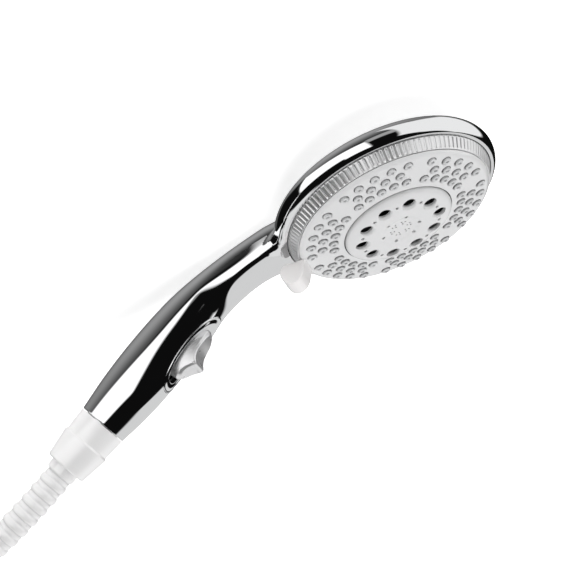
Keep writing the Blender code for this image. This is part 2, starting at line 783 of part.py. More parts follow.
def make_turbine():
    bore = AXLE_RADIUS + mm(0.25)
    low, high = mm(3.0), mm(9.0)
    outline = [(bore, low), (TURBINE_RADIUS, low), (TURBINE_RADIUS, low + mm(1.2)), (mm(3.6), low + mm(1.2)),
               (mm(3.2), high), (bore, high)]
    turbine = turned("massage_turbine", outline, INNER_PLASTIC, handset, 24)

    def build(bm):
        for index in range(TURBINE_VANES):
            turn = Matrix.Rotation(2 * math.pi * index / TURBINE_VANES, 4, "Z")
            length = TURBINE_RADIUS - mm(3.4)
            place = Matrix.Translation((mm(2.6) + length / 2, 0, low + mm(2.9)))
            size = Matrix.Diagonal((length, mm(1.2), mm(4.6), 1.0))
            bmesh.ops.create_cube(bm, size=1.0, matrix=turn @ place @ size)

    vanes = add_object("turbine_vanes", closed_mesh("turbine_vanes", build), None, handset)
    combine(turbine, vanes, "UNION")
    combine(turbine, rods("turbine_bore", [(0, 0, 0)], low - mm(1), high + mm(1), bore, bore, 24, None, handset))


make_spray_plate()
make_nozzle_mat()
make_knurled_ring()
make_massage_disc()
make_face_core()
make_diverter()
make_turbine()
rods("turbine_axle", [(0, 0, 0)], mm(2.3), DISC_CROWN - mm(2.8), AXLE_RADIUS, AXLE_RADIUS, 16, STEEL, handset)


# ---------------------------------------------------------------- fixed pieces inside the head


def make_chamber_body():
    low = CHAMBER_TOP - CHAMBER_THICKNESS
    rim = OPENING_RADIUS - mm(0.7)
    outline = [(POST_RADIUS + GAP, low), (rim, low), (rim, CHAMBER_TOP), (POST_RADIUS + GAP, CHAMBER_TOP)]
    body = turned("chamber_body", outline, INNER_PLASTIC, handset, INNER_SIDES)
    ports = [(x, y, 0.0) for x, y in around(3, PORT_CIRCLE)]
    combine(body, rods("chamber_ports", ports, low - mm(1), mm(-5), PORT_RADIUS, PORT_RADIUS, 10, None, handset))
    pocket = [(-DETENT_CIRCLE, 0, 0)]
    reach = BALL_RADIUS + GAP
    combine(body, rods("ball_pocket", pocket, low - mm(1), mm(-5), reach, reach, 12, None, handset))


def make_pivot():
    """The post that the face turns on, and the screw and washer that hold the face to it."""
    low = CHAMBER_TOP - CHAMBER_THICKNESS - SEAT_GAP
    top = CORE_FLOOR + CORE_THICKNESS
    tail = low - mm(4.3)
    hole = SCREW_RADIUS + mm(0.3)
    outline = [
        (0.0, tail), (mm(4.0), tail), (mm(4.0), low - mm(1.3)), (mm(6.0), low - mm(1.3)), (mm(6.0), low),
        (POST_RADIUS, low), (POST_RADIUS, top), (hole, top), (hole, tail + mm(0.9)), (0.0, tail + mm(0.9)),
    ]
    turned("pivot_post", outline, BRASS, handset, SMALL_SIDES)
    washer_low = top + SEAT_GAP
    washer_top = washer_low + mm(0.6)
    outline = [(hole, washer_low), (mm(6.5), washer_low), (mm(6.5), washer_top), (hole, washer_top)]
    turned("face_washer", outline, STEEL, handset, SMALL_SIDES)
    head = washer_top + SEAT_GAP
    outline = [
        (0.0, tail + mm(1.4)), (SCREW_RADIUS, tail + mm(1.4)), (SCREW_RADIUS, head), (mm(4.2), head),
        (mm(4.2), head + mm(1.0)), (mm(3.0), head + mm(1.7)), (0.0, head + mm(1.7)),
    ]
    screw = turned("face_screw", outline, STEEL, handset, SMALL_SIDES)
    for index, turn in enumerate((0.0, math.pi / 2)):
        slot = block(f"screw_slot_{index}", (mm(4.4), mm(0.9), mm(2)), (0, 0, 0), None, handset)
        slot.location = (0, 0, head + mm(1.9))
        slot.rotation_euler = (0, 0, turn)
        combine(screw, slot)


def make_detent():
    ball_height = DIVERTER_TOP - DIVERTER_THICKNESS - SEAT_GAP - BALL_RADIUS

    def build(bm):
        bmesh.ops.create_uvsphere(bm, u_segments=10, v_segments=6, radius=BALL_RADIUS)

    ball = add_object("detent_ball", closed_mesh("detent_ball", build), STEEL, handset)
    ball.location = (-DETENT_CIRCLE, 0, ball_height)
    foot = dome_inside(DETENT_CIRCLE + BALL_RADIUS) + mm(0.5)
    head = ball_height - BALL_RADIUS - SEAT_GAP
    outline = [(mm(1.0), foot), (mm(1.8), foot), (mm(1.8), head), (mm(1.0), head)]
    spring = turned("detent_spring", outline, STEEL, handset, 12)
    spring.location = (-DETENT_CIRCLE, 0, 0)


make_chamber_body()
make_pivot()
make_detent()
gasket_low = CHAMBER_TOP + SEAT_GAP
gasket_top = DIVERTER_TOP - DIVERTER_THICKNESS - SEAT_GAP
turned(
    "chamber_gasket",
    [(GASKET_CIRCLE - mm(1.5), gasket_low), (GASKET_CIRCLE + mm(1.5), gasket_low),
     (GASKET_CIRCLE + mm(1.5), gasket_top), (GASKET_CIRCLE - mm(1.5), gasket_top)],
    BLACK_RUBBER, handset, INNER_SIDES,
)


# ---------------------------------------------------------------- flow slide and valve


def make_bezel():
    """The oval frame let into the handle, flush with it and dished round the button."""
    window = oval(BEZEL_LENGTH / 2 - SEAT_GAP, BEZEL_WIDTH / 2 - SEAT_GAP)
    bezel = extruded("button_bezel", window, -BEZEL_DEPTH, mm(6), CHROME, slide_axis)
    form = lofted("handle_form", [handle_ring(section) for section in handle_sections()], None, handset)
    combine(bezel, form, "INTERSECT")

    def build(bm):
        bmesh.ops.create_uvsphere(bm, u_segments=24, v_segments=12, radius=1.0)
        bmesh.ops.scale(bm, vec=(BEZEL_LENGTH * 0.47, BEZEL_WIDTH * 0.46, mm(6)), verts=bm.verts)

    dish = add_object("bezel_dish", closed_mesh("bezel_dish", build), None, slide_axis)
    dish.location = (0, 0, mm(6) - DISH_DEPTH - mm(0.6))
    combine(bezel, dish)
    slot = oval((BUTTON_LENGTH + BUTTON_TRAVEL) / 2 + GAP, BUTTON_WIDTH / 2 + GAP)
    hole = extruded("button_slot", slot, -mm(9), mm(8), None, slide_axis)
    hole.location = (BUTTON_TRAVEL / 2, 0, 0)
    combine(bezel, hole)


def make_slide_button():
    """An oval slide with a thumb ridge, and the peg under it that moves the spool."""
    half = BUTTON_LENGTH / 2
    outline = [
        (-half, mm(-4.2)), (-half, mm(0.2)), (-half * 0.6, mm(1.9)), (-half * 0.22, mm(2.4)),
        (mm(0.6), mm(3.9)), (mm(2.2), BUTTON_RIDGE - mm(0.4)), (mm(3.0), BUTTON_RIDGE), (mm(4.0), BUTTON_RIDGE - mm(0.3)),
        (mm(5.7), mm(4.3)), (mm(7.9), mm(2.6)), (half * 0.8, mm(1.7)), (half, mm(0.2)), (half, mm(-4.2)),
    ]
    button = extruded("slide_button", outline, -BUTTON_WIDTH, BUTTON_WIDTH, CHROME, slide_axis, "XZ")
    plan = extruded("button_plan", oval(half, BUTTON_WIDTH / 2), -mm(6), mm(9), None, slide_axis)
    combine(button, plan, "INTERSECT")
    peg = rods(
        "peg_form", [(0, 0, 0)], -VALVE_DEPTH + mm(0.9), -mm(3), PEG_RADIUS, PEG_RADIUS, 10, None, slide_axis
    )
    combine(button, peg, "UNION")


def along_slide(outline, name, material, sides=SMALL_SIDES):
    """A piece turned about the valve's axis, which runs along the handle under the button."""
    obj = turned(name, outline, material, slide_axis, sides)
    obj.location = (0, 0, -VALVE_DEPTH)
    obj.rotation_euler = (0, math.pi / 2, 0)
    return obj


def make_valve():
    half = VALVE_LENGTH / 2
    bore = SPOOL_RADIUS + SEAT_GAP
    body = along_slide(
        [(bore, -half), (VALVE_RADIUS, -half), (VALVE_RADIUS, half), (bore, half)], "valve_body", INNER_PLASTIC
    )
    slot_length = 2 * (PEG_RADIUS + GAP) + BUTTON_TRAVEL
    slot = block(
        "peg_slot", (slot_length, 2 * (PEG_RADIUS + GAP), VALVE_RADIUS * 1.4), (0, 0, 0), None, slide_axis
    )
    slot.location = (BUTTON_TRAVEL / 2, 0, -VALVE_DEPTH + VALVE_RADIUS * 0.7 + mm(0.5))
    combine(body, slot)

    end = SPOOL_LENGTH / 2
    groove = SPOOL_RADIUS - mm(1.1)
    outline = [(0.0, -end), (SPOOL_RADIUS, -end)]
    for start in (-end + mm(2), end - mm(4)):
        outline += [
            (SPOOL_RADIUS, start), (groove, start), (groove, start + mm(2)), (SPOOL_RADIUS, start + mm(2))
        ]
    outline += [(SPOOL_RADIUS, end), (0.0, end)]
    spool = along_slide(outline, "valve_spool", BRASS)
    reach = PEG_RADIUS + SEAT_GAP
    combine(spool, rods(
        "spool_hole", [(0, 0, 0)], -VALVE_DEPTH, -VALVE_DEPTH + mm(6), reach, reach, 10, None, slide_axis
    ))
    for name, middle in (("spool_seal_head", -end + mm(3)), ("spool_seal_inlet", end - mm(3))):
        ring = arc((SPOOL_RADIUS - mm(0.35), middle), (mm(0.5), mm(0.7)), 0, 360, 6)[:-1]
        along_slide(ring, name, BLACK_RUBBER)


def slide_point(along, height):
    """A point in the head's frame, from its place along and above the button."""
    c, s = math.cos(SLIDE_ANGLE), math.sin(SLIDE_ANGLE)
    return Vector((SLIDE_POINT.x + along * c - height * s, 0, SLIDE_POINT.y + along * s + height * c))


def make_water_tubes():
    half = VALVE_LENGTH / 2 + GAP
    end = Vector((math.cos(HANDLE_END_ANGLE), 0, math.sin(HANDLE_END_ANGLE)))
    inlet = Vector((HANDLE_REACH, 0, HANDLE_RISE)) - (NIPPLE_DEPTH + GAP) * end
    straight = mm(3)
    route = [
        inlet, inlet - straight * end, slide_point(half + straight, -VALVE_DEPTH), slide_point(half, -VALVE_DEPTH)
    ]
    pipe("water_tube_inlet", route, SPOOL_RADIUS + mm(2.0), SPOOL_RADIUS, INNER_PLASTIC, handset)
    level = CHAMBER_TOP - CHAMBER_THICKNESS - GAP - TUBE_RADIUS
    route = [slide_point(-half, -VALVE_DEPTH), slide_point(-half - straight, -VALVE_DEPTH)]
    length = handle_samples()[1][-1]
    after = SLIDE_DISTANCE + half + mm(14)
    for step in range(4):
        centre = handle_station(after + (length - after) * step / 4)[0]
        drop = (step + 1) / 4 * (centre.y - level)
        route.append(Vector((centre.x, 0, centre.y - drop)))
    route += [Vector((NECK_REACH, 0, level)), Vector((OPENING_RADIUS - mm(4), 0, level))]
    pipe("water_tube_head", route, TUBE_RADIUS, TUBE_RADIUS - TUBE_WALL, INNER_PLASTIC, handset)


make_bezel()
make_slide_button()
make_valve()
make_water_tubes()


# ---------------------------------------------------------------- inlet


def make_inlet():
    groove = NIPPLE_RADIUS - mm(1.4)
    outline = [
        (WATERWAY_RADIUS, THREAD_LENGTH), (THREAD_RADIUS, THREAD_LENGTH), (THREAD_RADIUS, GAP),
        (NIPPLE_RADIUS, GAP), (NIPPLE_RADIUS, mm(-7)), (groove, mm(-7)), (groove, mm(-9.2)),
        (NIPPLE_RADIUS, mm(-9.2)), (NIPPLE_RADIUS, -NIPPLE_DEPTH), (WATERWAY_RADIUS, -NIPPLE_DEPTH),
    ]
    turned("inlet_nipple", outline, BRASS, inlet_axis, 32)
    ring = arc((NIPPLE_RADIUS - mm(0.4), mm(-8.1)), (mm(0.65), mm(0.8)), 0, 360, 6)[:-1]
    turned("inlet_seal", ring, BLACK_RUBBER, inlet_axis, 24)
    fit = WATERWAY_RADIUS - SEAT_GAP
    regulator = turned(
        "flow_regulator", [(0.0, mm(1)), (fit, mm(1)), (fit, mm(4.5)), (0.0, mm(4.5))], INNER_PLASTIC, inlet_axis, 16
    )
    ways = [(x, y, 0.0) for x, y in around(5, WATERWAY_RADIUS * 0.54)]
    combine(regulator, rods("regulator_ways", ways, mm(0), mm(6), mm(0.8), mm(0.8), 6, None, inlet_axis))
    outline = [
        (0.0, mm(6.0)), (fit - mm(2.1), mm(6.2)), (fit - mm(0.9), mm(8.6)), (fit, mm(8.6)), (fit, mm(9.4)),
        (fit - mm(1.4), mm(9.4)), (fit - mm(2.6), mm(6.9)), (0.0, mm(6.7)),
    ]
    turned("inlet_strainer", outline, STEEL, inlet_axis, 16)


def washer_outline(low):
    return [
        (WATERWAY_RADIUS + mm(0.5), low), (FLANGE_RADIUS, low), (FLANGE_RADIUS, low + mm(1.9)),
        (WATERWAY_RADIUS + mm(0.5), low + mm(1.9)),
    ]


def make_hose_nut():
    washer_low = THREAD_LENGTH + SEAT_GAP
    flange_low = washer_low + mm(1.9) + SEAT_GAP
    seat = flange_low + mm(2.0) + SEAT_GAP
    bore = THREAD_RADIUS + GAP
    throat = SLEEVE_RADIUS + GAP
    start = GAP + mm(0.2)
    turned("hose_washer", washer_outline(washer_low), BLACK_RUBBER, inlet_axis, 24)
    outline = [
        (SLEEVE_BORE, flange_low), (FLANGE_RADIUS, flange_low), (FLANGE_RADIUS, flange_low + mm(2.0)),
        (SLEEVE_RADIUS, flange_low + mm(2.0)), (SLEEVE_RADIUS, SLEEVE_END), (SLEEVE_BORE, SLEEVE_END),
    ]
    turned("hose_ferrule", outline, BRASS, inlet_axis, 24)
    outline = [
        (NUT_RADIUS, start), (NUT_RADIUS - mm(0.6), mm(10.8)), (NUT_RADIUS, mm(12.0)),
        (NUT_TIP_RADIUS, NUT_LENGTH - mm(0.7)), (NUT_TIP_RADIUS - mm(0.7), NUT_LENGTH), (throat, NUT_LENGTH),
        (throat, seat), (bore, seat), (bore, start),
    ]
    turned("hose_nut", outline, HOSE_METAL, inlet_axis, 40)


make_inlet()
make_hose_nut()


# ---------------------------------------------------------------- hose


def hose_curve(name, route):
    """A plain tube along a route, as a curve with a round bevel and filled caps."""
    points = through([[mm(value) for value in point] for point in route], HOSE_STEP)
    curve = bpy.data.curves.new(name, "CURVE")
    curve.dimensions = "3D"
    curve.bevel_depth = HOSE_DIAMETER / 2
    curve.bevel_resolution = 3
    curve.use_fill_caps = True
    spline = curve.splines.new("POLY")
    spline.points.add(len(points) - 1)
    for target, point in zip(spline.points, points):
        target.co = (*point, 1.0)
    return add_object(name, curve, HOSE_METAL, None)


def make_coil():
    low, high = COIL_BASE, COIL_BASE + COIL_HEIGHT
    soft = mm(5)
    outline = [
        (COIL_INNER_RADIUS, low + soft), (COIL_INNER_RADIUS + soft, low), (COIL_OUTER_RADIUS - soft, low),
        (COIL_OUTER_RADIUS, low + soft), (COIL_OUTER_RADIUS, high - soft), (COIL_OUTER_RADIUS - soft, high),
        (COIL_INNER_RADIUS + soft, high), (COIL_INNER_RADIUS, high - soft),
    ]
    coil = turned("hose_coil", outline, HOSE_METAL, None, 40)
    coil.location = (*COIL_CENTRE, 0)


def make_tie():
    """A strap round the coil's turns, on the side away from the handset."""
    low, high = COIL_BASE, COIL_BASE + COIL_HEIGHT
    wide = COIL_OUTER_RADIUS - COIL_INNER_RADIUS
    middle = (COIL_OUTER_RADIUS + COIL_INNER_RADIUS) / 2
    room = mm(0.8)
    centre = (COIL_CENTRE.x + middle, COIL_CENTRE.y, (low + high) / 2)
    outer = (wide + 2 * (room + TIE_THICKNESS), TIE_WIDTH, COIL_HEIGHT + 2 * (SEAT_GAP + TIE_THICKNESS))
    inner = (wide + 2 * room, TIE_WIDTH * 2, COIL_HEIGHT + 2 * SEAT_GAP)
    tie = block("coil_tie", outer, centre, BLACK_RUBBER, None)
    combine(tie, block("tie_inside", inner, centre, None, None))


def make_hose_end():
    tip = Vector(TAIL_ROUTE[-1]) / 1000
    axis = add_empty("hose_end_axis", None, tip, -math.pi / 2)
    flange = END_NUT_START + mm(8.7)
    outline = [
        (SLEEVE_BORE, GAP), (SLEEVE_RADIUS, GAP), (SLEEVE_RADIUS, flange), (FLANGE_RADIUS, flange),
        (FLANGE_RADIUS, flange + mm(2)), (SLEEVE_BORE, flange + mm(2)),
    ]
    turned("end_ferrule", outline, BRASS, axis, 24)
    turned("end_washer", washer_outline(flange + mm(2) + SEAT_GAP), BLACK_RUBBER, axis, 24)
    corner = THREAD_RADIUS + END_NUT_CORNER
    stop = END_NUT_START + END_NUT_LENGTH
    nut = rods("end_nut", [(0, 0, 0)], END_NUT_START, stop, corner, corner, 6, HOSE_METAL, axis)
    throat = SLEEVE_RADIUS + GAP
    bore = THREAD_RADIUS + GAP
    seat = flange - SEAT_GAP
    combine(nut, rods("nut_throat", [(0, 0, 0)], 0.0, stop, throat, throat, 24, None, axis))
    combine(nut, rods("nut_bore", [(0, 0, 0)], seat, stop + mm(2), bore, bore, 24, None, axis))


hose_curve("hose_tube", HOSE_ROUTE)
hose_curve("hose_tail", TAIL_ROUTE)
make_coil()
make_tie()
make_hose_end()

for part in PARTS.objects:
    if part.type == "MESH":
        part.data.shade_smooth()
        part.data.set_sharp_from_angle(angle=math.radians(35))
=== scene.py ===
"""A handheld shower head lying face up on a pale studio floor, its metal hose led away to a tied coil.

Lengths are millimetres in a piece's own frame, until a matrix turns them into metres in the shared frame.
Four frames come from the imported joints: HEAD (Z along the spray, X towards the handle), SLIDE (X along the
slide's travel, Z out of the handle), and INLET and OUTLET (Z out along the hose nuts' axes).
"""

import json
import math

import bmesh
import bpy
import numpy as np
from mathutils import Matrix, Vector


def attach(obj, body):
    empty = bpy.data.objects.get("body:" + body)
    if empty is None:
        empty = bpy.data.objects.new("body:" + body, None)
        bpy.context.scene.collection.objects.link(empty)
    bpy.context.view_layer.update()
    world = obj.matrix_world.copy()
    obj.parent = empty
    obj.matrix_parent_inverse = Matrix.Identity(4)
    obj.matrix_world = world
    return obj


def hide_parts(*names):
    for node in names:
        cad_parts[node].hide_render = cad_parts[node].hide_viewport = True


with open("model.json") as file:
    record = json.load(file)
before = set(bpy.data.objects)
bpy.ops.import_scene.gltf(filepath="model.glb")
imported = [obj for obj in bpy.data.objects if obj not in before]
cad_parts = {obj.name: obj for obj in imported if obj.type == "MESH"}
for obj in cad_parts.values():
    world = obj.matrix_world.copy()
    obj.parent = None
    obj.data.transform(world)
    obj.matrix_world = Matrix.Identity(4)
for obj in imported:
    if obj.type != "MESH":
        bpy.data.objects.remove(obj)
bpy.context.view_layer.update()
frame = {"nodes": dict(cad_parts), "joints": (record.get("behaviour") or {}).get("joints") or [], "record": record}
MM = 0.001
JOINTS = {joint["name"]: joint for joint in frame["joints"]}


# ---- frames


def frame_on(axis, origin, along_x=False):
    """A matrix from millimetres in a frame square to the Y axis, whose Z (or X) lies on axis, to metres."""
    axis = Vector(axis).normalized()
    if along_x:
        x, z = axis, Vector((-axis.z, 0, axis.x))
    else:
        x, z = Vector((axis.z, 0, -axis.x)), axis
    y = z.cross(x)
    turn = Matrix((x, y, z)).transposed().to_4x4()
    return Matrix.Translation(Vector(origin)) @ turn @ Matrix.Scale(MM, 4)


def joint_frame(name):
    return frame_on(JOINTS[name]["axis"], JOINTS[name]["pos_m"])


HEAD = joint_frame("spray_select")
INLET = joint_frame("hose_nut_spin")
OUTLET = joint_frame("end_nut_spin")


# ---- mesh helpers


def make_mesh(name, verts, faces, repair=True):
    mesh = bpy.data.meshes.new(name)
    points = [tuple(vert) for vert in np.asarray(verts, float).tolist()]
    mesh.from_pydata(points, [], [tuple(face) for face in faces])
    if repair:
        bm = bmesh.new()
        bm.from_mesh(mesh)
        bmesh.ops.recalc_face_normals(bm, faces=bm.faces)
        bm.to_mesh(mesh)
        bm.free()
    return mesh


def add(name, mesh, place, material=None, body=None, stands_for=(), slot=None, sharp=35):
    """Links a mesh given in millimetres, and rides it on a body. A piece with no body is a cutter."""
    obj = bpy.data.objects.new(name, mesh)
    bpy.context.scene.collection.objects.link(obj)
    mesh.transform(place)
    if material is not None:
        mesh.materials.append(material)
    mesh.shade_smooth()
    mesh.set_sharp_from_angle(angle=math.radians(sharp))
    if body is None:
        obj.hide_render = True
        return obj
    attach(obj, body)
    if stands_for:
        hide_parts(*stands_for)
    return obj


def rounded(points, steps=5):
    """An outline with its corners rounded: each point is (r, z) or (r, z, radius)."""
    result = []
    count = len(points)
    for index, point in enumerate(points):
        radius = point[2] if len(point) > 2 else 0.0
        here = Vector(point[:2])
        if radius <= 0:
            result.append(tuple(here))
            continue
        before = Vector(points[index - 1][:2]) - here
        after = Vector(points[(index + 1) % count][:2]) - here
        half = before.angle(after) / 2
        run = min(radius / math.tan(half), before.length * 0.49, after.length * 0.49)
        radius = run * math.tan(half)
        inward = (before.normalized() + after.normalized()).normalized()
        centre = here + inward * (radius / math.sin(half))
        start, end = here + before.normalized() * run, here + after.normalized() * run
        a0 = math.atan2(*(start - centre).yx)
        a1 = math.atan2(*(end - centre).yx)
        turn = (a1 - a0 + math.pi) % (2 * math.pi) - math.pi
        for step in range(steps + 1):
            angle = a0 + turn * step / steps
            result.append((centre.x + radius * math.cos(angle), centre.y + radius * math.sin(angle)))
    return result


def revolve(outline, count, wave=None):
    """Vertices and faces of an outline turned about Z, closed where the outline starts or ends on the axis.
    wave(points, angle) may move its points for each angle."""
    points = np.array(outline, float)
    angles = np.arange(count) * 2 * math.pi / count
    rows = []
    for angle in angles:
        r, z = (wave(points, angle) if wave else points).T
        rows.append(np.column_stack((r * math.cos(angle), r * math.sin(angle), z)))
    size = len(points)
    poles = [index for index in (0, size - 1) if abs(points[index, 0]) < 1e-9]
    verts = np.concatenate(rows)
    faces = []
    closed = not poles
    for column in range(count):
        after = (column + 1) % count
        for row in range(size if closed else size - 1):
            below = (row + 1) % size
            a, b = column * size + row, column * size + below
            c, d = after * size + below, after * size + row
            if row in poles:
                faces.append((row, b, c))
            elif below in poles:
                faces.append((a, below, d))
            else:
                faces.append((a, b, c, d))
    if poles:
        # Each pole keeps its first vertex; the others are left loose and dropped.
        used = sorted({index for face in faces for index in face})
        order = {old: new for new, old in enumerate(used)}
        verts = verts[used]
        faces = [tuple(order[index] for index in face) for face in faces]
    return verts, faces


def turned(name, outline, count, place, material, body, wave=None, **more):
    return add(name, make_mesh(name, *revolve(outline, count, wave)), place, material, body, **more)


def grid_faces(rings, sides, closed=False):
    """Quads between rings of points. A closed grid also joins the last ring to the first."""
    return [
        (a * sides + i, a * sides + (i + 1) % sides, b * sides + (i + 1) % sides, b * sides + i)
        for a, b in ((a, (a + 1) % rings) for a in range(rings if closed else rings - 1))
        for i in range(sides)
    ]


def end_faces(rings, sides):
    """The first and the last ring, as two faces."""
    return [tuple(range(sides)), tuple(range((rings - 1) * sides, rings * sides))]


def loft(rings):
    """Vertices and faces of a solid through rings of points, flat at both ends."""
    count, sides = len(rings), len(rings[0])
    return np.concatenate(rings), grid_faces(count, sides) + end_faces(count, sides)


def oval(half_length, half_width, count=96, power=0.9):
    """Points of an oval, a little fuller than an ellipse where power is under 1."""
    angles = np.arange(count) * 2 * math.pi / count
    c, s = np.cos(angles), np.sin(angles)
    return np.column_stack((
        half_length * np.sign(c) * np.abs(c) ** power, half_width * np.sign(s) * np.abs(s) ** power
    ))


def prism(outline, low, high):
    bottom = np.column_stack((outline, np.full(len(outline), low)))
    top = np.column_stack((outline, np.full(len(outline), high)))
    return loft([bottom, top])


def boolean(obj, other, operation="DIFFERENCE"):
    modifier = obj.modifiers.new("cut", "BOOLEAN")
    modifier.operation = operation
    modifier.object = other
    modifier.solver = "EXACT"


def apply(obj, sharp):
    """Puts an object's modifiers into its mesh, and removes the cutters."""
    graph = bpy.context.evaluated_depsgraph_get()
    obj.data = bpy.data.meshes.new_from_object(obj.evaluated_get(graph))
    cutters = [modifier.object for modifier in obj.modifiers if modifier.type == "BOOLEAN"]
    obj.modifiers.clear()
    for cutter in cutters:
        bpy.data.objects.remove(cutter)
    obj.data.shade_smooth()
    obj.data.set_sharp_from_angle(angle=math.radians(sharp))
    return obj


def spline(xs, ys):
    """A natural cubic spline through the points, as a function of arrays."""
    xs, ys = np.array(xs, float), np.array(ys, float)
    gaps = np.diff(xs)
    size = len(xs)
    system, right = np.eye(size), np.zeros(size)
    for i in range(1, size - 1):
        system[i, i - 1 : i + 2] = gaps[i - 1], 2 * (gaps[i - 1] + gaps[i]), gaps[i]
        right[i] = 6 * ((ys[i + 1] - ys[i]) / gaps[i] - (ys[i] - ys[i - 1]) / gaps[i - 1])
    bend = np.linalg.solve(system, right)

    def value(at):
        at = np.clip(at, xs[0], xs[-1])
        i = np.clip(np.searchsorted(xs, at) - 1, 0, size - 2)
        h, a, b = gaps[i], xs[i + 1] - at, at - xs[i]
        return (
            bend[i] * a**3 / (6 * h) + bend[i + 1] * b**3 / (6 * h)
            + (ys[i] / h - bend[i] * h / 6) * a + (ys[i + 1] / h - bend[i + 1] * h / 6) * b
        )

    return value


def smoothstep(low, high, value):
    t = np.clip((value - low) / (high - low), 0, 1)
    return t * t * (3 - 2 * t)


def smooth_min(a, b, width):
    near = np.maximum(width - np.abs(a - b), 0) / width
    return np.minimum(a, b) - near * near * width / 4


def smooth_max(a, b, width):
    return -smooth_min(-a, -b, width)


# ---- materials


def material(name, colour, roughness, metallic=0.0, **sockets):
    mat = bpy.data.materials.new(name)
    mat.use_nodes = True
    shader = mat.node_tree.nodes["Principled BSDF"]
    shader.inputs["Base Color"].default_value = (*colour, 1)
    shader.inputs["Roughness"].default_value = roughness
    shader.inputs["Metallic"].default_value = metallic
    for socket, value in sockets.items():
        shader.inputs[socket.replace("_", " ")].default_value = value
    return mat


def node(mat, kind, inputs=None, **settings):
    made = mat.node_tree.nodes.new(kind)
    for key, value in settings.items():
        setattr(made, key, value)
    for key, value in (inputs or {}).items():
        if isinstance(value, bpy.types.NodeSocket):
            mat.node_tree.links.new(value, made.inputs[key])
        else:
            made.inputs[key].default_value = value
    return made


def link(mat, output, socket):
    mat.node_tree.links.new(output, mat.node_tree.nodes["Principled BSDF"].inputs[socket])


def noise(mat, scale, detail=3.0):
    coords = node(mat, "ShaderNodeTexCoord")
    settings = {"Vector": coords.outputs["Object"], "Scale": scale, "Detail": detail}
    return node(mat, "ShaderNodeTexNoise", settings)


def vary_roughness(mat, scale, low, high):
    spots = noise(mat, scale)
    spread = node(
        mat, "ShaderNodeMapRange", {"Value": spots.outputs["Fac"], "To Min": low, "To Max": high}
    )
    link(mat, spread.outputs["Result"], "Roughness")


def fine_bump(mat, scale, height):
    spots = noise(mat, scale, 4.0)
    bump = node(
        mat, "ShaderNodeBump", {"Height": spots.outputs["Fac"], "Distance": height, "Strength": 1.0}
    )
    link(mat, bump.outputs["Normal"], "Normal")


def painted_crevice_shade(mat, dark, clear, reach):
    """Painted shade: the colour darkens in grooves and round raised details, by ambient occlusion, where shade
    would fall.
    """
    # Ambient occlusion blends the base colour towards the dark colour in hollows: this is painted shade.
    hidden = node(mat, "ShaderNodeAmbientOcclusion", {"Distance": reach}, samples=8)
    sharpen = node(
        mat, "ShaderNodeMapRange", {"Value": hidden.outputs["AO"], "From Min": 0.25, "From Max": 0.9}
    )
    # Inputs 6 and 7 are the Mix node's two colours.
    blend = node(
        mat, "ShaderNodeMix",
        {"Factor": sharpen.outputs["Result"], 6: (*dark, 1), 7: (*clear, 1)}, data_type="RGBA",
    )
    link(mat, blend.outputs[2], "Base Color")


PALE = (0.98, 0.975, 0.975)
GLOSSY = {"Coat_Weight": 0.4, "Coat_Roughness": 0.08}
SATIN = {"Coat_Weight": 0.3, "Coat_Roughness": 0.15}

CHROME = material("polished_chrome", (0.93, 0.935, 0.94), 0.03, 1.0)
vary_roughness(CHROME, 90, 0.02, 0.05)
RING_CHROME = material("ring_chrome", (0.95, 0.95, 0.955), 0.3, 0.85)
vary_roughness(RING_CHROME, 200, 0.27, 0.33)
SLIDE_CHROME = material("slide_chrome", (0.93, 0.93, 0.935), 0.28, 0.7)
vary_roughness(SLIDE_CHROME, 300, 0.26, 0.3)
FACE_WHITE = material("face_plastic", (0.78, 0.785, 0.79), 0.22, **GLOSSY)
fine_bump(FACE_WHITE, 900, 0.00002)
# Painted shade: the face plastic darkens to grey in the nozzle holes, the jets, pins and dots, and other hollows.
painted_crevice_shade(FACE_WHITE, (0.42, 0.42, 0.425), (0.81, 0.812, 0.816), 0.0009)
LEVER_WHITE = material("lever_plastic", (0.98, 0.96, 0.955), 0.25, **GLOSSY)
fine_bump(LEVER_WHITE, 900, 0.00002)
NOZZLE_GREY = material("nozzle_rubber", (0.62, 0.625, 0.63), 0.4)
fine_bump(NOZZLE_GREY, 1500, 0.00003)
# Painted shade: the nozzles darken nearly to black in their outlets and round the foot of their collars.
painted_crevice_shade(NOZZLE_GREY, (0.10, 0.10, 0.105), (0.70, 0.705, 0.71), 0.0011)
PALE_METAL = material("pale_metal", PALE, 0.28, 0.15, **SATIN)
vary_roughness(PALE_METAL, 250, 0.27, 0.31)
HOSE_METAL = material("hose_metal", PALE, 0.28, 0.15, **SATIN)
vary_roughness(HOSE_METAL, 250, 0.26, 0.31)
# Painted shade: the hose darkens to grey in the grooves between its ribs.
painted_crevice_shade(HOSE_METAL, (0.50, 0.50, 0.505), PALE, 0.002)
INNER_PLASTIC = material("inner_plastic", (0.045, 0.045, 0.048), 0.45)
fine_bump(INNER_PLASTIC, 700, 0.00003)
BRASS = material("machined_brass", (0.78, 0.58, 0.27), 0.25, 1.0)
vary_roughness(BRASS, 400, 0.18, 0.35)
STEEL = material("plain_steel", (0.62, 0.63, 0.64), 0.25, 1.0)
vary_roughness(STEEL, 400, 0.2, 0.35)
RUBBER = material("black_rubber", (0.025, 0.025, 0.026), 0.6)
fine_bump(RUBBER, 1200, 0.00004)

BY_SLOT = {
    "chrome": CHROME, "white": FACE_WHITE, "silver_slide": SLIDE_CHROME, "nozzle_rubber": NOZZLE_GREY,
    "seal_rubber": RUBBER, "inner_plastic": INNER_PLASTIC, "brass": BRASS, "steel": STEEL,
    "pale_metal": PALE_METAL, "hose": HOSE_METAL,
}
for row in frame["record"]["subparts"]:
    cad_node = frame["nodes"][row["node"]]
    cad_node.data.materials.clear()
    cad_node.data.materials.append(BY_SLOT[row["material_slot"]])


# ---- the shell's form

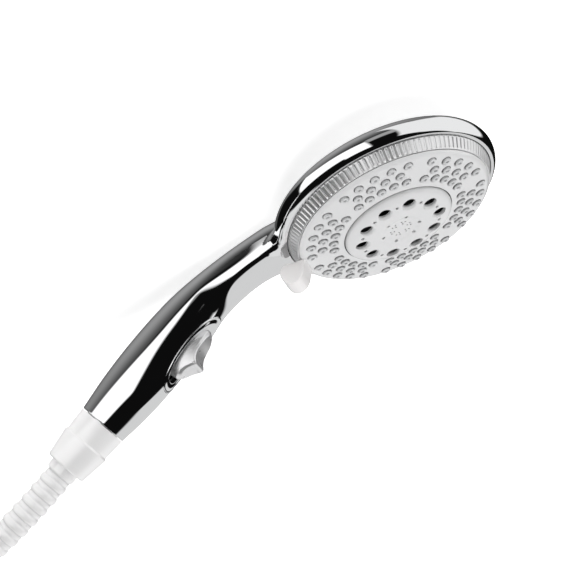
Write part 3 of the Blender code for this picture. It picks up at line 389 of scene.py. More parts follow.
# The head: a dome rolled over a shoulder into a rim, with Z = 0 at the rim's top.
SHELL_RADIUS = 55.2
WIDEST = -5.2  # height of the widest ring
SHOULDER = 6.0
DOME_DEPTH = 23.5
OPENING = 51.3
LIP = 51.7  # where the rim's top turns down
SHELL_WALL = 2.2
RIM_EDGE = 0.3
LID_REACH = 54.0  # the flat cut over the opening slopes away outside this radius
LID_SLOPE = 1.41
DOME_REACH = SHELL_RADIUS - SHOULDER
DOME_DROP = DOME_DEPTH + WIDEST
DOME_RADIUS = (DOME_REACH**2 + DOME_DROP**2 - SHOULDER**2) / (2 * (DOME_DROP - SHOULDER))
DOME_CENTRE = DOME_RADIUS - DOME_DEPTH

# The handle: half sizes along a Bezier centreline, from its open end to the neck.
REACH, RISE = 163.3, 31.2
END_ANGLE, END_PULL = math.radians(24.6), 62.0
NECK, NECK_PULL = (56.0, -9.9), 34.0
HANDLE_WALL = 2.4
HANDLE_ROOT = 24.0  # the handle starts this far from the head's axis
END_EDGE = 0.5
FLAT_POWER, FLAT_SHARES = 3.5, (0.62, 0.95)
JOIN_SHARP, JOIN_SOFT = 0.7, 6.5  # width of the blend into the head, at the back and more at the front
END_OUT = np.array((math.cos(END_ANGLE), math.sin(END_ANGLE)))
BEZIER = np.array((
    (REACH, RISE), (REACH, RISE) - END_PULL * END_OUT, (NECK[0] + NECK_PULL, NECK[1]), NECK
))
SHARES = (0, 0.13, 0.30, 0.46, 0.58, 0.65, 0.73, 0.82, 0.915, 1)
HALF_THICK = spline(SHARES, (11.9, 13.6, 14.35, 13.8, 12.5, 11.3, 10.0, 9.1, 8.9, 9.3))
HALF_WIDE = spline(SHARES, (11.9, 13.75, 14.9, 14.6, 14.0, 13.4, 12.6, 12.0, 12.2, 13.4))


def bezier(t, order=0):
    """The handle's centreline in X and Z, or its first or second derivative."""
    t = np.asarray(t, float)[..., None]
    s = 1 - t
    p0, p1, p2, p3 = BEZIER
    if order == 0:
        return s**3 * p0 + 3 * s * s * t * p1 + 3 * s * t * t * p2 + t**3 * p3
    if order == 1:
        return 3 * s * s * (p1 - p0) + 6 * s * t * (p2 - p1) + 3 * t * t * (p3 - p2)
    return 6 * s * (p2 - 2 * p1 + p0) + 6 * t * (p3 - 2 * p2 + p1)


TABLE = np.linspace(0, 1, 801)
LINE = bezier(TABLE)
WALKED = np.concatenate(([0], np.cumsum(np.linalg.norm(np.diff(LINE, axis=0), axis=1))))


def handle_place(x, z):
    """For points in the handle's plane: the share of its length, and the offset towards its front."""
    point = np.stack((x, z), axis=-1)
    coarse = bezier(np.linspace(0, 1, 41))
    t = np.argmin(((point[..., None, :] - coarse) ** 2).sum(-1), axis=-1) / 40
    for _ in range(5):
        away, first, second = bezier(t) - point, bezier(t, 1), bezier(t, 2)
        slope = (first**2).sum(-1) + (away * second).sum(-1)
        t = np.clip(t - (away * first).sum(-1) / np.maximum(slope, 1000), 0, 1)
    away, first = point - bezier(t), bezier(t, 1)
    first = first / np.linalg.norm(first, axis=-1, keepdims=True)
    front = away[..., 0] * first[..., 1] - away[..., 1] * first[..., 0]
    return np.interp(t, TABLE, WALKED / WALKED[-1]), front


def handle_form(x, y, z, share, front):
    thick, wide = HALF_THICK(share), HALF_WIDE(share)
    # Towards the head the front flattens, so that it meets the rim as a plane with a tight shoulder.
    power = 2 + FLAT_POWER * smoothstep(*FLAT_SHARES, share) * (front > 0)
    a, b = np.abs(front) / thick, np.abs(y) / wide
    reach = (a**power + b**power) ** (1 / power) + 1e-9
    ra, rb = (a / reach) ** (power - 1) / thick, (b / reach) ** (power - 1) / wide
    tube = (reach - 1) / (np.sqrt(ra**2 + rb**2) + 1e-9)
    end = (x - REACH) * END_OUT[0] + (z - RISE) * END_OUT[1]
    return smooth_max(np.maximum(tube, HANDLE_ROOT - x), end, END_EDGE)


def head_form(r, z):
    from_dome = np.hypot(r, z - DOME_CENTRE) - DOME_RADIUS
    dr, dz = r - DOME_REACH, z - WIDEST
    from_shoulder = np.hypot(dr, dz) - SHOULDER
    tangent = math.atan2(WIDEST - DOME_CENTRE, DOME_REACH)
    back = np.where((dr > 0) & (np.arctan2(dz, dr) > tangent), from_shoulder, from_dome)
    a, b = SHELL_RADIUS - LIP, -WIDEST
    er, ez = np.maximum(r - LIP, 0) / a, dz / b
    reach, slope = np.hypot(er, ez) + 1e-9, np.hypot(er / a, ez / b) + 1e-9
    front = np.where(r > LIP, (reach - 1) * reach / slope, z)
    return np.where(z > WIDEST, front, back)


def shell_form(x, y, z, share=None, front=None):
    """Negative inside the handle and head. Their join is sharp at the back and eases out to the front."""
    if share is None:
        share, front = handle_place(x, z)
    handle = handle_form(x, y, z, share, front)
    r = np.hypot(x, y)
    head = head_form(r, z)
    sideways = 0.2 + 0.8 * smoothstep(0.0, 9.0, np.abs(y))
    width = JOIN_SHARP + JOIN_SOFT * smoothstep(-2.0, 5.0, front) * sideways
    lid = (z - np.maximum(r - LID_REACH, 0)) / np.where(r > LID_REACH, LID_SLOPE, 1.0)
    return smooth_max(smooth_min(handle, head, width), lid, RIM_EDGE)


def surface_net(field, origin, step):
    """Vertices and quads of a field's zero surface, one vertex in each cell that it crosses."""
    inside = field < 0
    corners = [(i, j, k) for i in (0, 1) for j in (0, 1) for k in (0, 1)]
    shape = np.array(field.shape) - 1

    def corner(array, offset):
        return array[tuple(slice(o, o + n) for o, n in zip(offset, shape))]

    count = sum(corner(inside, c).astype(np.int8) for c in corners)
    mixed = (count > 0) & (count < 8)
    index = np.full(shape, -1)
    index[mixed] = np.arange(mixed.sum())
    base = np.argwhere(mixed)
    values = np.stack([corner(field, c)[mixed] for c in corners], axis=1)
    total, hits = np.zeros((len(base), 3)), np.zeros(len(base))
    for first, a in enumerate(corners):
        for second, b in enumerate(corners):
            if second <= first or sum(abs(p - q) for p, q in zip(a, b)) != 1:
                continue
            va, vb = values[:, first], values[:, second]
            crossed = (va < 0) != (vb < 0)
            t = np.where(crossed, va / np.where(crossed, va - vb, 1), 0)
            at = np.array(a) + t[:, None] * (np.array(b) - np.array(a))
            total += at * crossed[:, None]
            hits += crossed
    verts = origin + (base + total / hits[:, None]) * step
    quads = []
    for axis in range(3):
        u, v = (axis + 1) % 3, (axis + 2) % 3
        low = [slice(None)] * 3
        high = [slice(None)] * 3
        low[axis], high[axis] = slice(0, -1), slice(1, None)
        change = inside[tuple(low)] != inside[tuple(high)]
        cells = np.argwhere(change)
        along_u, along_v = cells[:, u], cells[:, v]
        cells = cells[(along_u > 0) & (along_v > 0) & (along_u < shape[u]) & (along_v < shape[v])]
        starts_in = inside[tuple(cells.T)]
        ring = []
        for du, dv in ((1, 1), (0, 1), (0, 0), (1, 0)):
            cell = cells.copy()
            cell[:, u] -= du
            cell[:, v] -= dv
            ring.append(index[tuple(cell.T)])
        quad = np.stack(ring, axis=1)
        quad[~starts_in] = quad[~starts_in, ::-1]
        quads.append(quad)
    return verts, np.concatenate(quads)


def form_gradient(points, reach=0.02):
    columns = []
    for axis in range(3):
        step = np.zeros(3)
        step[axis] = reach
        columns.append(shell_form(*(points + step).T) - shell_form(*(points - step).T))
    return np.stack(columns, axis=1) / (2 * reach)


def settle(points, rounds=3):
    """Moves points onto the form's surface."""
    for _ in range(rounds):
        slope = form_gradient(points)
        move = shell_form(*points.T) / np.maximum((slope**2).sum(1), 1e-6)
        points = points - slope * move[:, None]
    return points


def relax(points, quads):
    """Moves each point halfway to the middle of its neighbours."""
    total, count = np.zeros_like(points), np.zeros(len(points))
    for a, b in ((0, 1), (1, 2), (2, 3), (3, 0)):
        for i, j in ((a, b), (b, a)):
            np.add.at(total, quads[:, i], points[quads[:, j]])
            np.add.at(count, quads[:, i], 1)
    return 0.5 * points + 0.5 * total / count[:, None]


def handle_ring(share, shift=0.0, sides=64):
    """A closed ring on the handle's inner wall at a share of its length, shifted along it."""
    t = np.interp(share, WALKED / WALKED[-1], TABLE)
    centre, first = bezier(t), bezier(t, 1)
    first = first / np.linalg.norm(first)
    centre = centre + shift * first
    up = np.array((first[1], -first[0]))
    angles = np.arange(sides) * 2 * math.pi / sides
    thick, wide = float(HALF_THICK(share)) - HANDLE_WALL, float(HALF_WIDE(share)) - HANDLE_WALL
    flat = centre[None, :] + (thick * np.cos(angles))[:, None] * up
    return np.column_stack((flat[:, 0], wide * np.sin(angles), flat[:, 1]))


# ---- the slide's frame

SLIDE_DISTANCE = 50.8  # along the handle from its end
SLIDE_STAND = 0.3  # above the handle's surface
WINDOW_HALF = (21.5, 9.3)
BEZEL_HALF, DISH_HALF, DISH_SHIFT = (21.25, 9.05), (15.0, 6.8), 1.5
BUTTON_HALF = (13.4, 6.25)


def handle_front(distance):
    """The point in X and Z on the handle's front, this far from its end."""
    share = distance / WALKED[-1]
    t = np.interp(share, WALKED / WALKED[-1], TABLE)
    first = bezier(t, 1)
    first = first / np.linalg.norm(first)
    return bezier(t) + float(HALF_THICK(share)) * np.array((first[1], -first[0]))


slide_origin = HEAD @ Vector((*handle_front(SLIDE_DISTANCE), 0)).xzy
SLIDE = frame_on(JOINTS["flow_slide"]["axis"], slide_origin, along_x=True)
SLIDE = SLIDE @ Matrix.Translation((0, 0, SLIDE_STAND))


# ---- body shell

FORM_LOW, FORM_HIGH = np.array((-58.0, -58.0, -26.0)), np.array((168.5, 58.0, 46.5))
NET_STEP = 0.62


def shell_surface():
    """The form's surface as a quad mesh that lies on it closely and evenly."""
    size = np.ceil((FORM_HIGH - FORM_LOW) / NET_STEP).astype(int)
    axes = [FORM_LOW[i] + NET_STEP * np.arange(size[i]) for i in range(3)]
    flat_x, flat_z = np.meshgrid(axes[0], axes[2], indexing="ij")
    share, front = handle_place(flat_x, flat_z)
    x, y, z = axes[0][:, None, None], axes[1][None, :, None], axes[2][None, None, :]
    field = shell_form(x, y, z, share[:, None, :], front[:, None, :])
    verts, quads = surface_net(field, FORM_LOW, NET_STEP)
    verts = settle(verts)
    for _ in range(4):
        verts = settle(relax(verts, quads), 1)
    return make_mesh("chrome_shell", settle(verts), quads.tolist(), repair=False)


def make_shell():
    """The handle and head as one moulding, hollowed for the works, with a window for the slide."""
    shell = add("chrome_shell", shell_surface(), Matrix(), CHROME)
    inner = DOME_RADIUS - SHELL_WALL
    limit = math.asin(OPENING / inner)
    arc = [limit * i / 16 for i in range(17)]
    cavity = [(inner * math.sin(angle), DOME_CENTRE - inner * math.cos(angle)) for angle in arc]
    cavity += [(OPENING, 6.0), (0.0, 6.0)]
    boolean(shell, add("cavity", make_mesh("cavity", *revolve(cavity, 256)), Matrix()))
    rings = [handle_ring(0, -3.0)] + [handle_ring(share) for share in np.linspace(0, 1, 24)]
    rings += [handle_ring(1, 20.0), handle_ring(1, 32.0)]
    boolean(shell, add("bore", make_mesh("bore", *loft(rings)), Matrix()))
    window = make_mesh("window", *prism(oval(*WINDOW_HALF), -12, 12))
    boolean(shell, add("window", window, HEAD.inverted() @ SLIDE))
    apply(shell, 30)
    mesh = shell.data
    give_exact_normals(mesh)
    mesh.transform(HEAD)
    shell.hide_render = False
    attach(shell, "handset")
    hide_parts("body_shell")


def read(items, attribute, kind=np.float32, width=1):
    values = np.empty(len(items) * width, kind)
    items.foreach_get(attribute, values)
    return values.reshape(-1, width) if width > 1 else values


def give_exact_normals(mesh):
    """Outer faces take the form's own normals, so that reflections run smoothly over them."""
    points = read(mesh.vertices, "co", width=3).astype(float)
    outer = np.abs(shell_form(*points.T)) < 0.03
    slope = form_gradient(points)
    slope /= np.maximum(np.linalg.norm(slope, axis=1, keepdims=True), 1e-6)
    corner = read(mesh.loops, "vertex_index", np.int32)
    normals = read(mesh.corner_normals, "vector", width=3)
    starts = read(mesh.polygons, "loop_start", np.int32)
    totals = read(mesh.polygons, "loop_total", np.int32)
    face_normals = read(mesh.polygons, "normal", width=3)
    face_of = np.repeat(np.arange(len(totals)), totals)
    whole = np.minimum.reduceat(outer[corner].astype(np.int8), starts).astype(bool)
    exact = slope[corner]
    facing = (exact * face_normals[face_of]).sum(1) > 0.8
    use = whole[face_of] & facing
    normals[use] = exact[use]
    mesh.normals_split_custom_set(normals.tolist())


make_shell()


# ---- turning face


RIBS, RIB_DEPTH = 120, 0.4
PLATE_HOLE, PLATE_RADIUS = 27.0, 47.6
PLATE_TOP, PLATE_FOOT = 9.55, 5.6
PLATE_ROLL = 3.2  # the edge rolls over within this distance
PLATE_THICK, MAT_THICK = 1.8, 1.4
NOZZLE_SECTORS, NOZZLE_STEP = 6, math.radians(11)
NOZZLE_ROWS = ((42.6, 5), (37.35, 4), (32.1, 5))  # radius and count in each sector
JETS, JET_RING, JET_START = 10, 19.6, 27.7
PIN_RING, PIN_START = 19.5, 9.7
FLOWER_RING, FLOWER_ANGLES = 9.0, (0, 60, 120, 169, 240, 300)


def make_ring():
    """A conical ring with fine ribs that fade out at both edges."""
    along = 12
    top, foot = np.array((48.15, 5.25)), np.array((50.85, 0.15))
    outline = [(47.1, 4.6), (47.2, 5.0), (47.5, 5.2), (47.9, 5.3)]
    outline += [tuple(top + (foot - top) * i / along) for i in range(along + 1)]
    outline += [(50.9, -0.4), (50.9, -4.0), (48.8, -4.0), (47.1, 0.5)]
    heights = np.array([point[1] for point in outline])
    depth = RIB_DEPTH * smoothstep(5.2, 4.6, heights) * smoothstep(-0.3, 0.5, heights)
    depth[:4] = 0
    depth[-3:] = 0
    out = (foot - top) / np.linalg.norm(foot - top)
    out = np.array((-out[1], out[0]))

    def ribbed(points, angle):
        phase = (angle * RIBS / (2 * math.pi)) % 1.0
        rib = min(abs(phase - 0.5) * 2, 1.0)
        groove = float(smoothstep(0.62, 1.0, rib)) + 0.12 * rib**2
        return points - out * (depth * groove)[:, None]

    turned("knurled_ring_face", outline, RIBS * (10), HEAD, RING_CHROME, "spray_face",
           wave=ribbed, stands_for=("knurled_ring",), slot="chrome", sharp=50)


def plate_height(r):
    """Height of the plate's crowned face, which rolls down at its edge."""
    out = max(r - PLATE_HOLE, 0.0)
    crown = PLATE_TOP - 0.112 * out - 0.001 * out**2
    edge = PLATE_RADIUS - r
    if edge < PLATE_ROLL:
        crown -= (crown - PLATE_FOOT) * (1 - edge / PLATE_ROLL) ** 3
    return crown


def nozzle_places():
    """(r, angle, height of the plate) for each nozzle."""
    places = []
    for sector in range(NOZZLE_SECTORS):
        middle = math.radians(60 * sector + 30)
        for radius, count in NOZZLE_ROWS:
            for i in range(count):
                angle = middle + NOZZLE_STEP * (i - (count - 1) / 2)
                places.append((radius, angle, plate_height(radius)))
    return places


def rods(places, outline, sides):
    """Small turned solids that stand on Z at each place (r, angle, foot)."""
    verts, faces = revolve(outline, sides)
    all_verts, all_faces = [], []
    for radius, angle, foot in places:
        shift = (radius * math.cos(angle), radius * math.sin(angle), foot)
        offset = len(all_verts) * len(verts)
        all_verts.append(verts + shift)
        all_faces += [tuple(i + offset for i in face) for face in faces]
    return np.concatenate(all_verts), all_faces


def make_plate():
    reaches = [*np.linspace(PLATE_HOLE, 44.0, 12), *np.linspace(44.4, PLATE_RADIUS, 11)]
    outline = [(r, plate_height(r)) for r in reaches]
    outline += [(47.62, 5.45), (46.4, 5.4), (46.4, 2.0), (44.9, 2.0)]
    outline += [(r, plate_height(r) - PLATE_THICK) for r in (44.9, 42, 38, 34, 30, PLATE_HOLE)]
    plate = turned("spray_plate_face", outline, 192, HEAD, FACE_WHITE, "spray_face",
                   stands_for=("spray_plate",), slot="white")
    hole = [(0, -4), (2.2, -4), (2.2, -0.22), (2.5, 0.08), (2.9, 0.5), (0, 0.5)]
    holes = make_mesh("nozzle_holes", *rods(nozzle_places(), hole, 20))
    boolean(plate, add("nozzle_holes", holes, HEAD))
    apply(plate, 30)


def make_nozzles():
    """The grey mat's nozzles: a rounded collar round a small outlet."""
    outline = rounded([
        (0, -3.0), (1.95, -3.0), (1.9, 0.8, 0.3), (1.1, 1.05, 0.2), (0.8, 0.85, 0.1), (0.62, 0.45),
        (0, 0.45),
    ], 3)
    nozzles = make_mesh("nozzles", *rods(nozzle_places(), outline, 18))
    add("nozzles", nozzles, HEAD, NOZZLE_GREY, "spray_face",
        stands_for=("nozzle_mat",), slot="nozzle_rubber", sharp=50)
    mat = [(r, plate_height(r) - 2.15) for r in (28.6, 32, 36, 40, 44.0)]
    mat += [(r, z - MAT_THICK) for r, z in mat[::-1]]
    turned("nozzle_sheet", mat, 96, HEAD, NOZZLE_GREY, "spray_face", slot="nozzle_rubber")


def make_disc():
    """The raised middle disc: ten wide jets, ten pins between them and a flower of small dots."""
    top = spline(
        (0, 5, 8.2, 9.4, 14, 20, 24, 25.6), (12.35, 12.35, 12.65, 12.95, 13.25, 12.85, 11.85, 11.2)
    )
    outline = [(0, float(top(0)))] + [(r, float(top(r))) for r in np.linspace(1.5, 25.6, 34)]
    outline += [(26.1, 10.85), (26.45, 10.3), (26.6, 9.6), (26.6, 8.6), (25.0, 8.4), (24.8, 10.2)]
    outline += [(19.6, 11.3), (9, 11.3), (0, 10.9)]
    disc = turned("massage_disc_face", outline, 192, HEAD, FACE_WHITE, "spray_face",
                  stands_for=("massage_disc",), slot="white")

    def place(r, degrees):
        return r, math.radians(degrees), float(top(r))

    apart = 360 // JETS
    jets = [place(JET_RING, JET_START + apart * i) for i in range(JETS)]
    pins = [place(PIN_RING, PIN_START + apart * i) for i in range(JETS)]
    pins += [place(FLOWER_RING, angle) for angle in FLOWER_ANGLES]
    dots = [
        place(r, 60 * petal + aside) for petal in range(6) for r, aside in ((3.4, 0), (5.0, -11), (5.0, 11))
    ]
    jet = [(0, -4), (2.85, -4), (2.95, -0.7), (3.15, -0.35), (3.7, 0.02), (4.4, 0.5), (0, 0.5)]
    pin = [(0, -4), (0.75, -4), (0.8, -0.1), (1.05, 0.1), (1.3, 0.5), (0, 0.5)]
    dot = [(0, -4), (0.42, -4), (0.42, 0), (0.6, 0.5), (0, 0.5)]
    for name, places, shape, sides in (
        ("jets", jets, jet, 40), ("pins", pins, pin, 16), ("dots", dots, dot, 10)
    ):
        boolean(disc, add(name, make_mesh(name, *rods(places, shape, sides)), HEAD))
    apply(disc, 30)


def make_lever():
    """A rounded tab that stands over the rim at the handle's side."""
    outline = [
        (45.4, 6.2), (46.5, 5.9), (51.6, 5.8), (52.6, 4.8), (55.6, 4.4), (58.0, 5.6), (59.2, 8.2),
        (59.1, 11.0), (57.9, 13.6), (55.6, 15.2), (52.4, 15.1), (49.6, 13.4), (47.8, 10.8), (46.4, 8.2),
        (45.4, 7.0),
    ]
    rows = (-6.6, -5.8, -3.2, 0, 3.2, 5.8, 6.6)
    rings = [np.array([(x, y, z) for x, z in outline]) for y in rows]
    mesh = make_mesh("lever", *loft(rings))
    lever = add("lever", mesh, HEAD, LEVER_WHITE, "spray_face", slot="white")
    bevel = lever.modifiers.new("edges", "BEVEL")
    bevel.width = 2.4 * MM
    bevel.segments = 5
    bevel.limit_method = "ANGLE"
    bevel.angle_limit = math.radians(60)
    smooth = lever.modifiers.new("round", "SUBSURF")
    smooth.levels = smooth.render_levels = 2
    apply(lever, 60)


make_ring()
make_plate()
make_nozzles()
make_disc()
make_lever()


# ---- flow slide


OVAL_SIDES = 128
GROOVES, GROOVE_WIDTH, GROOVE_DEPTH = (1.3, 2.2, 4.8), 0.24, 0.22


def front_height(points):
    """The handle's surface over points (along, across) of the slide's frame."""
    to_head = np.array(HEAD.inverted() @ SLIDE)
    heights = np.zeros(len(points))
    nudge = 0.02

    def form(values):
        spots = np.column_stack((points, values))
        here = spots @ to_head[:3, :3].T + to_head[:3, 3]
        return shell_form(*here.T)

    for _ in range(12):
        value = form(heights)
        slope = (form(heights + nudge) - form(heights - nudge)) / (2 * nudge)
        heights -= value / np.maximum(slope, 0.2)
    return heights


def make_bezel():
    """The oval frame: flush with the handle at its edge and dished round the button."""
    outer, inner = oval(*BEZEL_HALF, OVAL_SIDES), oval(*DISH_HALF, OVAL_SIDES) + np.array((DISH_SHIFT, 0))
    rings = [np.column_stack((outer, front_height(outer) - 3.5))]
    # share of the way in to the dish's floor, and the depth there: a low bead, then the dish
    drops = [(0, 0.08), (0.02, -0.05), (0.05, -0.12), (0.08, -0.1), (0.12, 0.02), (0.16, 0.09)]
    drops += [(0.22, 0.12)]
    drops += [(share, 0.12 + 0.8 * smoothstep(0.45, 1.0, share)) for share in np.linspace(0.3, 1.0, 12)]
    for share, drop in drops:
        flat = outer + (inner - outer) * share
        rings.append(np.column_stack((flat, front_height(flat) - drop)))
    last = rings[-1]
    for fall in (0.25, 3.0):
        rings.append(np.column_stack((last[:, :2], last[:, 2] - fall)))
    bezel = make_mesh("bezel", np.concatenate(rings), grid_faces(len(rings), OVAL_SIDES, closed=True))
    add("bezel", bezel, SLIDE, CHROME, "handset", stands_for=("button_bezel",), slot="chrome", sharp=40)


def make_button():
    """An oval slide whose hollow flanks rise to a thumb ridge with fine grooves."""
    profile = spline(
        (-13.6, -11, -8.1, -5.5, -3.1, -0.8, 0.8, 2.2, 3.0, 4.0, 5.4, 7.4, 9.4, 11.4, 13.6),
        (0.5, 1.25, 1.8, 2.05, 2.3, 2.95, 3.9, 5.1, 5.7, 5.5, 4.45, 2.9, 2.0, 1.4, 0.5),
    )
    outer = oval(*BUTTON_HALF, OVAL_SIDES)
    rings = [
        np.column_stack((outer, np.full(OVAL_SIDES, -4.0))),
        np.column_stack((outer, profile(outer[:, 0]) - 1.3)),
    ]
    for share in np.concatenate((np.linspace(0.0, 0.16, 7), np.linspace(0.2, 0.985, 30))):
        flat = outer * (1 - share)
        rim = 1.25 * (1 - smoothstep(0, 0.16, share)) ** 2
        across = flat[:, 1]
        crown = -0.006 * across**2
        height = profile(flat[:, 0]) + crown - rim
        for centre in GROOVES:
            near = np.exp(-(((flat[:, 0] - centre) / GROOVE_WIDTH) ** 2))
            height -= GROOVE_DEPTH * near * (np.abs(across) < 5.3) * (share > 0.1)
        rings.append(np.column_stack((flat, height)))
    add("thumb_slide", make_mesh("thumb_slide", *loft(rings)), SLIDE, SLIDE_CHROME, "flow_slider",
        stands_for=("slide_button",), slot="silver_slide", sharp=50)


make_bezel()
make_button()


# ---- hose and its fittings


NUT_BORE, SLEEVE_BORE = 10.8, 7.7


def make_nut():
    """The conical nut, with a waist near its foot."""
    outline = rounded([
        (11.9, 0.3, 0.2), (11.35, 11.1, 0.2), (12.0, 12.0, 0.5), (10.15, 25.4, 0.6), (9.3, 26.0, 0.3),
        (SLEEVE_BORE, 26.0, 0.2), (SLEEVE_BORE, 15.8), (NUT_BORE, 15.8), (NUT_BORE, 0.3)
    ], 4)
    return turned("nut_cone", outline, 128, INLET, PALE_METAL, "hose_nut",
                  stands_for=("hose_nut",), slot="pale_metal")


HOSE_DIAMETER = 14.0
HOSE_END_RADIUS = 5.9
PITCH = 6.3
# distance along each pitch, and the radius there: a broad round rib and a narrow lower one
RIB = (
    (0.0, 6.1), (0.35, 6.55), (0.9, 6.85), (1.9, 7.0), (2.9, 6.85), (3.45, 6.55), (3.75, 6.15),
    (3.9, 5.95), (4.2, 6.15), (4.7, 6.35), (5.2, 6.38), (5.7, 6.3), (6.1, 6.05),
)
COIL = np.array((325.0, -45.0))
COIL_STEP = 6  # degrees
FREE_ROUTE = (
    (128.2, 0.0, 51.1), (133.0, 0.0, 52.9), (147.0, 0.2, 57.9), (163.0, 0.8, 62.5), (180.0, 2.5, 65.2),
    (197.0, 6.2, 64.8), (213.0, 11.4, 61.0), (228.0, 17.6, 54.0), (242.0, 24.3, 44.6), (255.0, 31.0, 34.0),
    (268.0, 37.3, 23.8), (281.0, 42.6, 15.6), (294.0, 46.9, 10.6),
)
# clockwise turn in degrees from the free stretch's end, distance from the coil's middle, height
COIL_RUNS = ((82.2, 7.2), (68.0, 7.2), (75.0, 19.6))  # (distance, height) of the three runs at the tie
COIL_ROUTE = (
    (0, 97.0, 10.6), (14, 92.0, 8.4), (28, 87.2, 7.4), (42, 84.0, 7.2), (56, 82.4, 7.2), (90, 82.2, 7.2),
    (360, 82.2, 7.2), (372, 80.6, 7.2), (386, 76.0, 7.2), (400, 71.0, 7.2), (412, 68.6, 7.2),
    (424, 68.0, 7.2), (628, 68.0, 7.2), (640, 68.0, 8.2), (655, 68.2, 12.2), (670, 69.0, 17.0),
    (684, 70.6, 20.6), (700, 73.4, 21.8), (724, 75.0, 21.8), (752, 75.0, 21.2), (780, 75.0, 20.2),
    (810, 75.0, 19.6), (870, 75.0, 19.6), (895, 75.0, 20.4), (918.6, 75.0, 21.2),
)
TAIL_ROUTE = (
    (300.0, -120.0, 21.3), (284.0, -120.0, 20.2), (263.0, -120.0, 16.4), (250.0, -120.0, 13.9),
    (237.0, -120.0, 12.4), (230.0, -120.0, 12.1), (223.0, -120.0, 12.1),
)


def through(points, step):
    """Evenly spaced points on a smooth curve through the points."""
    nodes = np.array(points, float)
    nodes = np.vstack((2 * nodes[0] - nodes[1], nodes, 2 * nodes[-1] - nodes[-2]))
    fine = []
    for p0, p1, p2, p3 in zip(nodes, nodes[1:], nodes[2:], nodes[3:]):
        t = np.linspace(0, 1, 24, endpoint=False)[:, None]
        square, cube = 2 * p0 - 5 * p1 + 4 * p2 - p3, 3 * p1 - p0 - 3 * p2 + p3
        fine.append(0.5 * (2 * p1 + (p2 - p0) * t + square * t**2 + cube * t**3))
    fine = np.vstack(fine + [nodes[-2][None]])
    along = np.concatenate(([0], np.cumsum(np.linalg.norm(np.diff(fine, axis=0), axis=1))))
    at = np.linspace(0, along[-1], round(along[-1] / step) + 1)
    return np.column_stack([np.interp(at, along, fine[:, i]) for i in range(3)])


def hose_line(step):
    """The hose's centreline: free from the handset, round the coil, and out to the end nut."""
    turns, reaches, heights = np.array(COIL_ROUTE).T
    first = math.atan2(FREE_ROUTE[-1][1] - COIL[1], FREE_ROUTE[-1][0] - COIL[0])
    swept = np.arange(COIL_STEP, turns[-1], COIL_STEP)
    angle = first - np.radians(swept)
    reach, height = np.interp(swept, turns, reaches), np.interp(swept, turns, heights)
    for _ in range(2):
        reach[1:-1] = (reach[:-2] + 2 * reach[1:-1] + reach[2:]) / 4
        height[1:-1] = (height[:-2] + 2 * height[1:-1] + height[2:]) / 4
    coil = np.column_stack((COIL[0] + reach * np.cos(angle), COIL[1] + reach * np.sin(angle), height))
    return through([*FREE_ROUTE, *coil, *TAIL_ROUTE], step)


def tube(line, radii, sides):
    """A mesh tube with one ring for each point and radius, capped at both ends."""
    tangent = np.gradient(line, axis=0)
    tangent /= np.linalg.norm(tangent, axis=1, keepdims=True)
    side = np.array((0.0, 1.0, 0.0))
    angles = np.arange(sides) * 2 * math.pi / sides
    rings = []
    for point, along, radius in zip(line, tangent, radii):
        side = side - side.dot(along) * along
        side /= np.linalg.norm(side)
        up = np.cross(along, side)
        rings.append(point + radius * (np.cos(angles)[:, None] * side + np.sin(angles)[:, None] * up))
    return loft(rings)


def make_hose():
    """The hose of interlocked strip, and its centreline in metres."""
    line = hose_line(0.5)
    along = np.concatenate(([0], np.cumsum(np.linalg.norm(np.diff(line, axis=0), axis=1))))
    length = along[-1]
    stations, radii = [0.0], [HOSE_END_RADIUS]
    for start in np.arange(0.3, length - PITCH, PITCH):
        for offset, radius in RIB:
            stations.append(start + offset)
            radii.append(radius)
    stations.append(length)
    radii.append(HOSE_END_RADIUS)
    points = np.column_stack([np.interp(stations, along, line[:, i]) for i in range(3)])
    mesh = make_mesh("hose", *tube(points, radii, 28))
    hose = add("hose", mesh, Matrix.Scale(MM, 4), HOSE_METAL, "handset",
               stands_for=("hose_tube", "hose_coil", "hose_tail"), slot="hose", sharp=60)
    return hose, line / 1000


def make_tie():
    """A strap drawn round the coil's three runs."""
    room, thick = 0.3, 1.1
    angles = np.radians(np.arange(0, 360, 5))
    outward = np.column_stack((np.cos(angles), np.sin(angles)))
    furthest = [max(COIL_RUNS, key=lambda run: way @ np.array(run)) for way in outward]
    inner = np.array(furthest) + outward * (HOSE_DIAMETER / 2 + room)
    inner[:, 1] = np.maximum(inner[:, 1], 0.35)
    outer = inner + outward * thick
    outer[:, 1] = np.maximum(outer[:, 1], 0.05)
    # place across the strap, and share of its thickness there
    section = ((-6.6, 0), (-7.0, 0.5), (-6.6, 1), (-5.6, 1.1), (5.6, 1.1), (6.6, 1), (7.0, 0.5), (6.6, 0))
    rings = []
    for across, out in section:
        flat = inner + (outer - inner) * out
        rings.append(np.column_stack((flat[:, 0], np.full(len(flat), across), flat[:, 1])))
    faces = grid_faces(len(rings), len(inner), closed=True)
    place = Matrix.Scale(MM, 4) @ Matrix.Translation((*COIL, 0))
    return add("hose_tie", make_mesh("hose_tie", np.concatenate(rings), faces), place, RUBBER, "handset",
               stands_for=("coil_tie",), slot="seal_rubber")


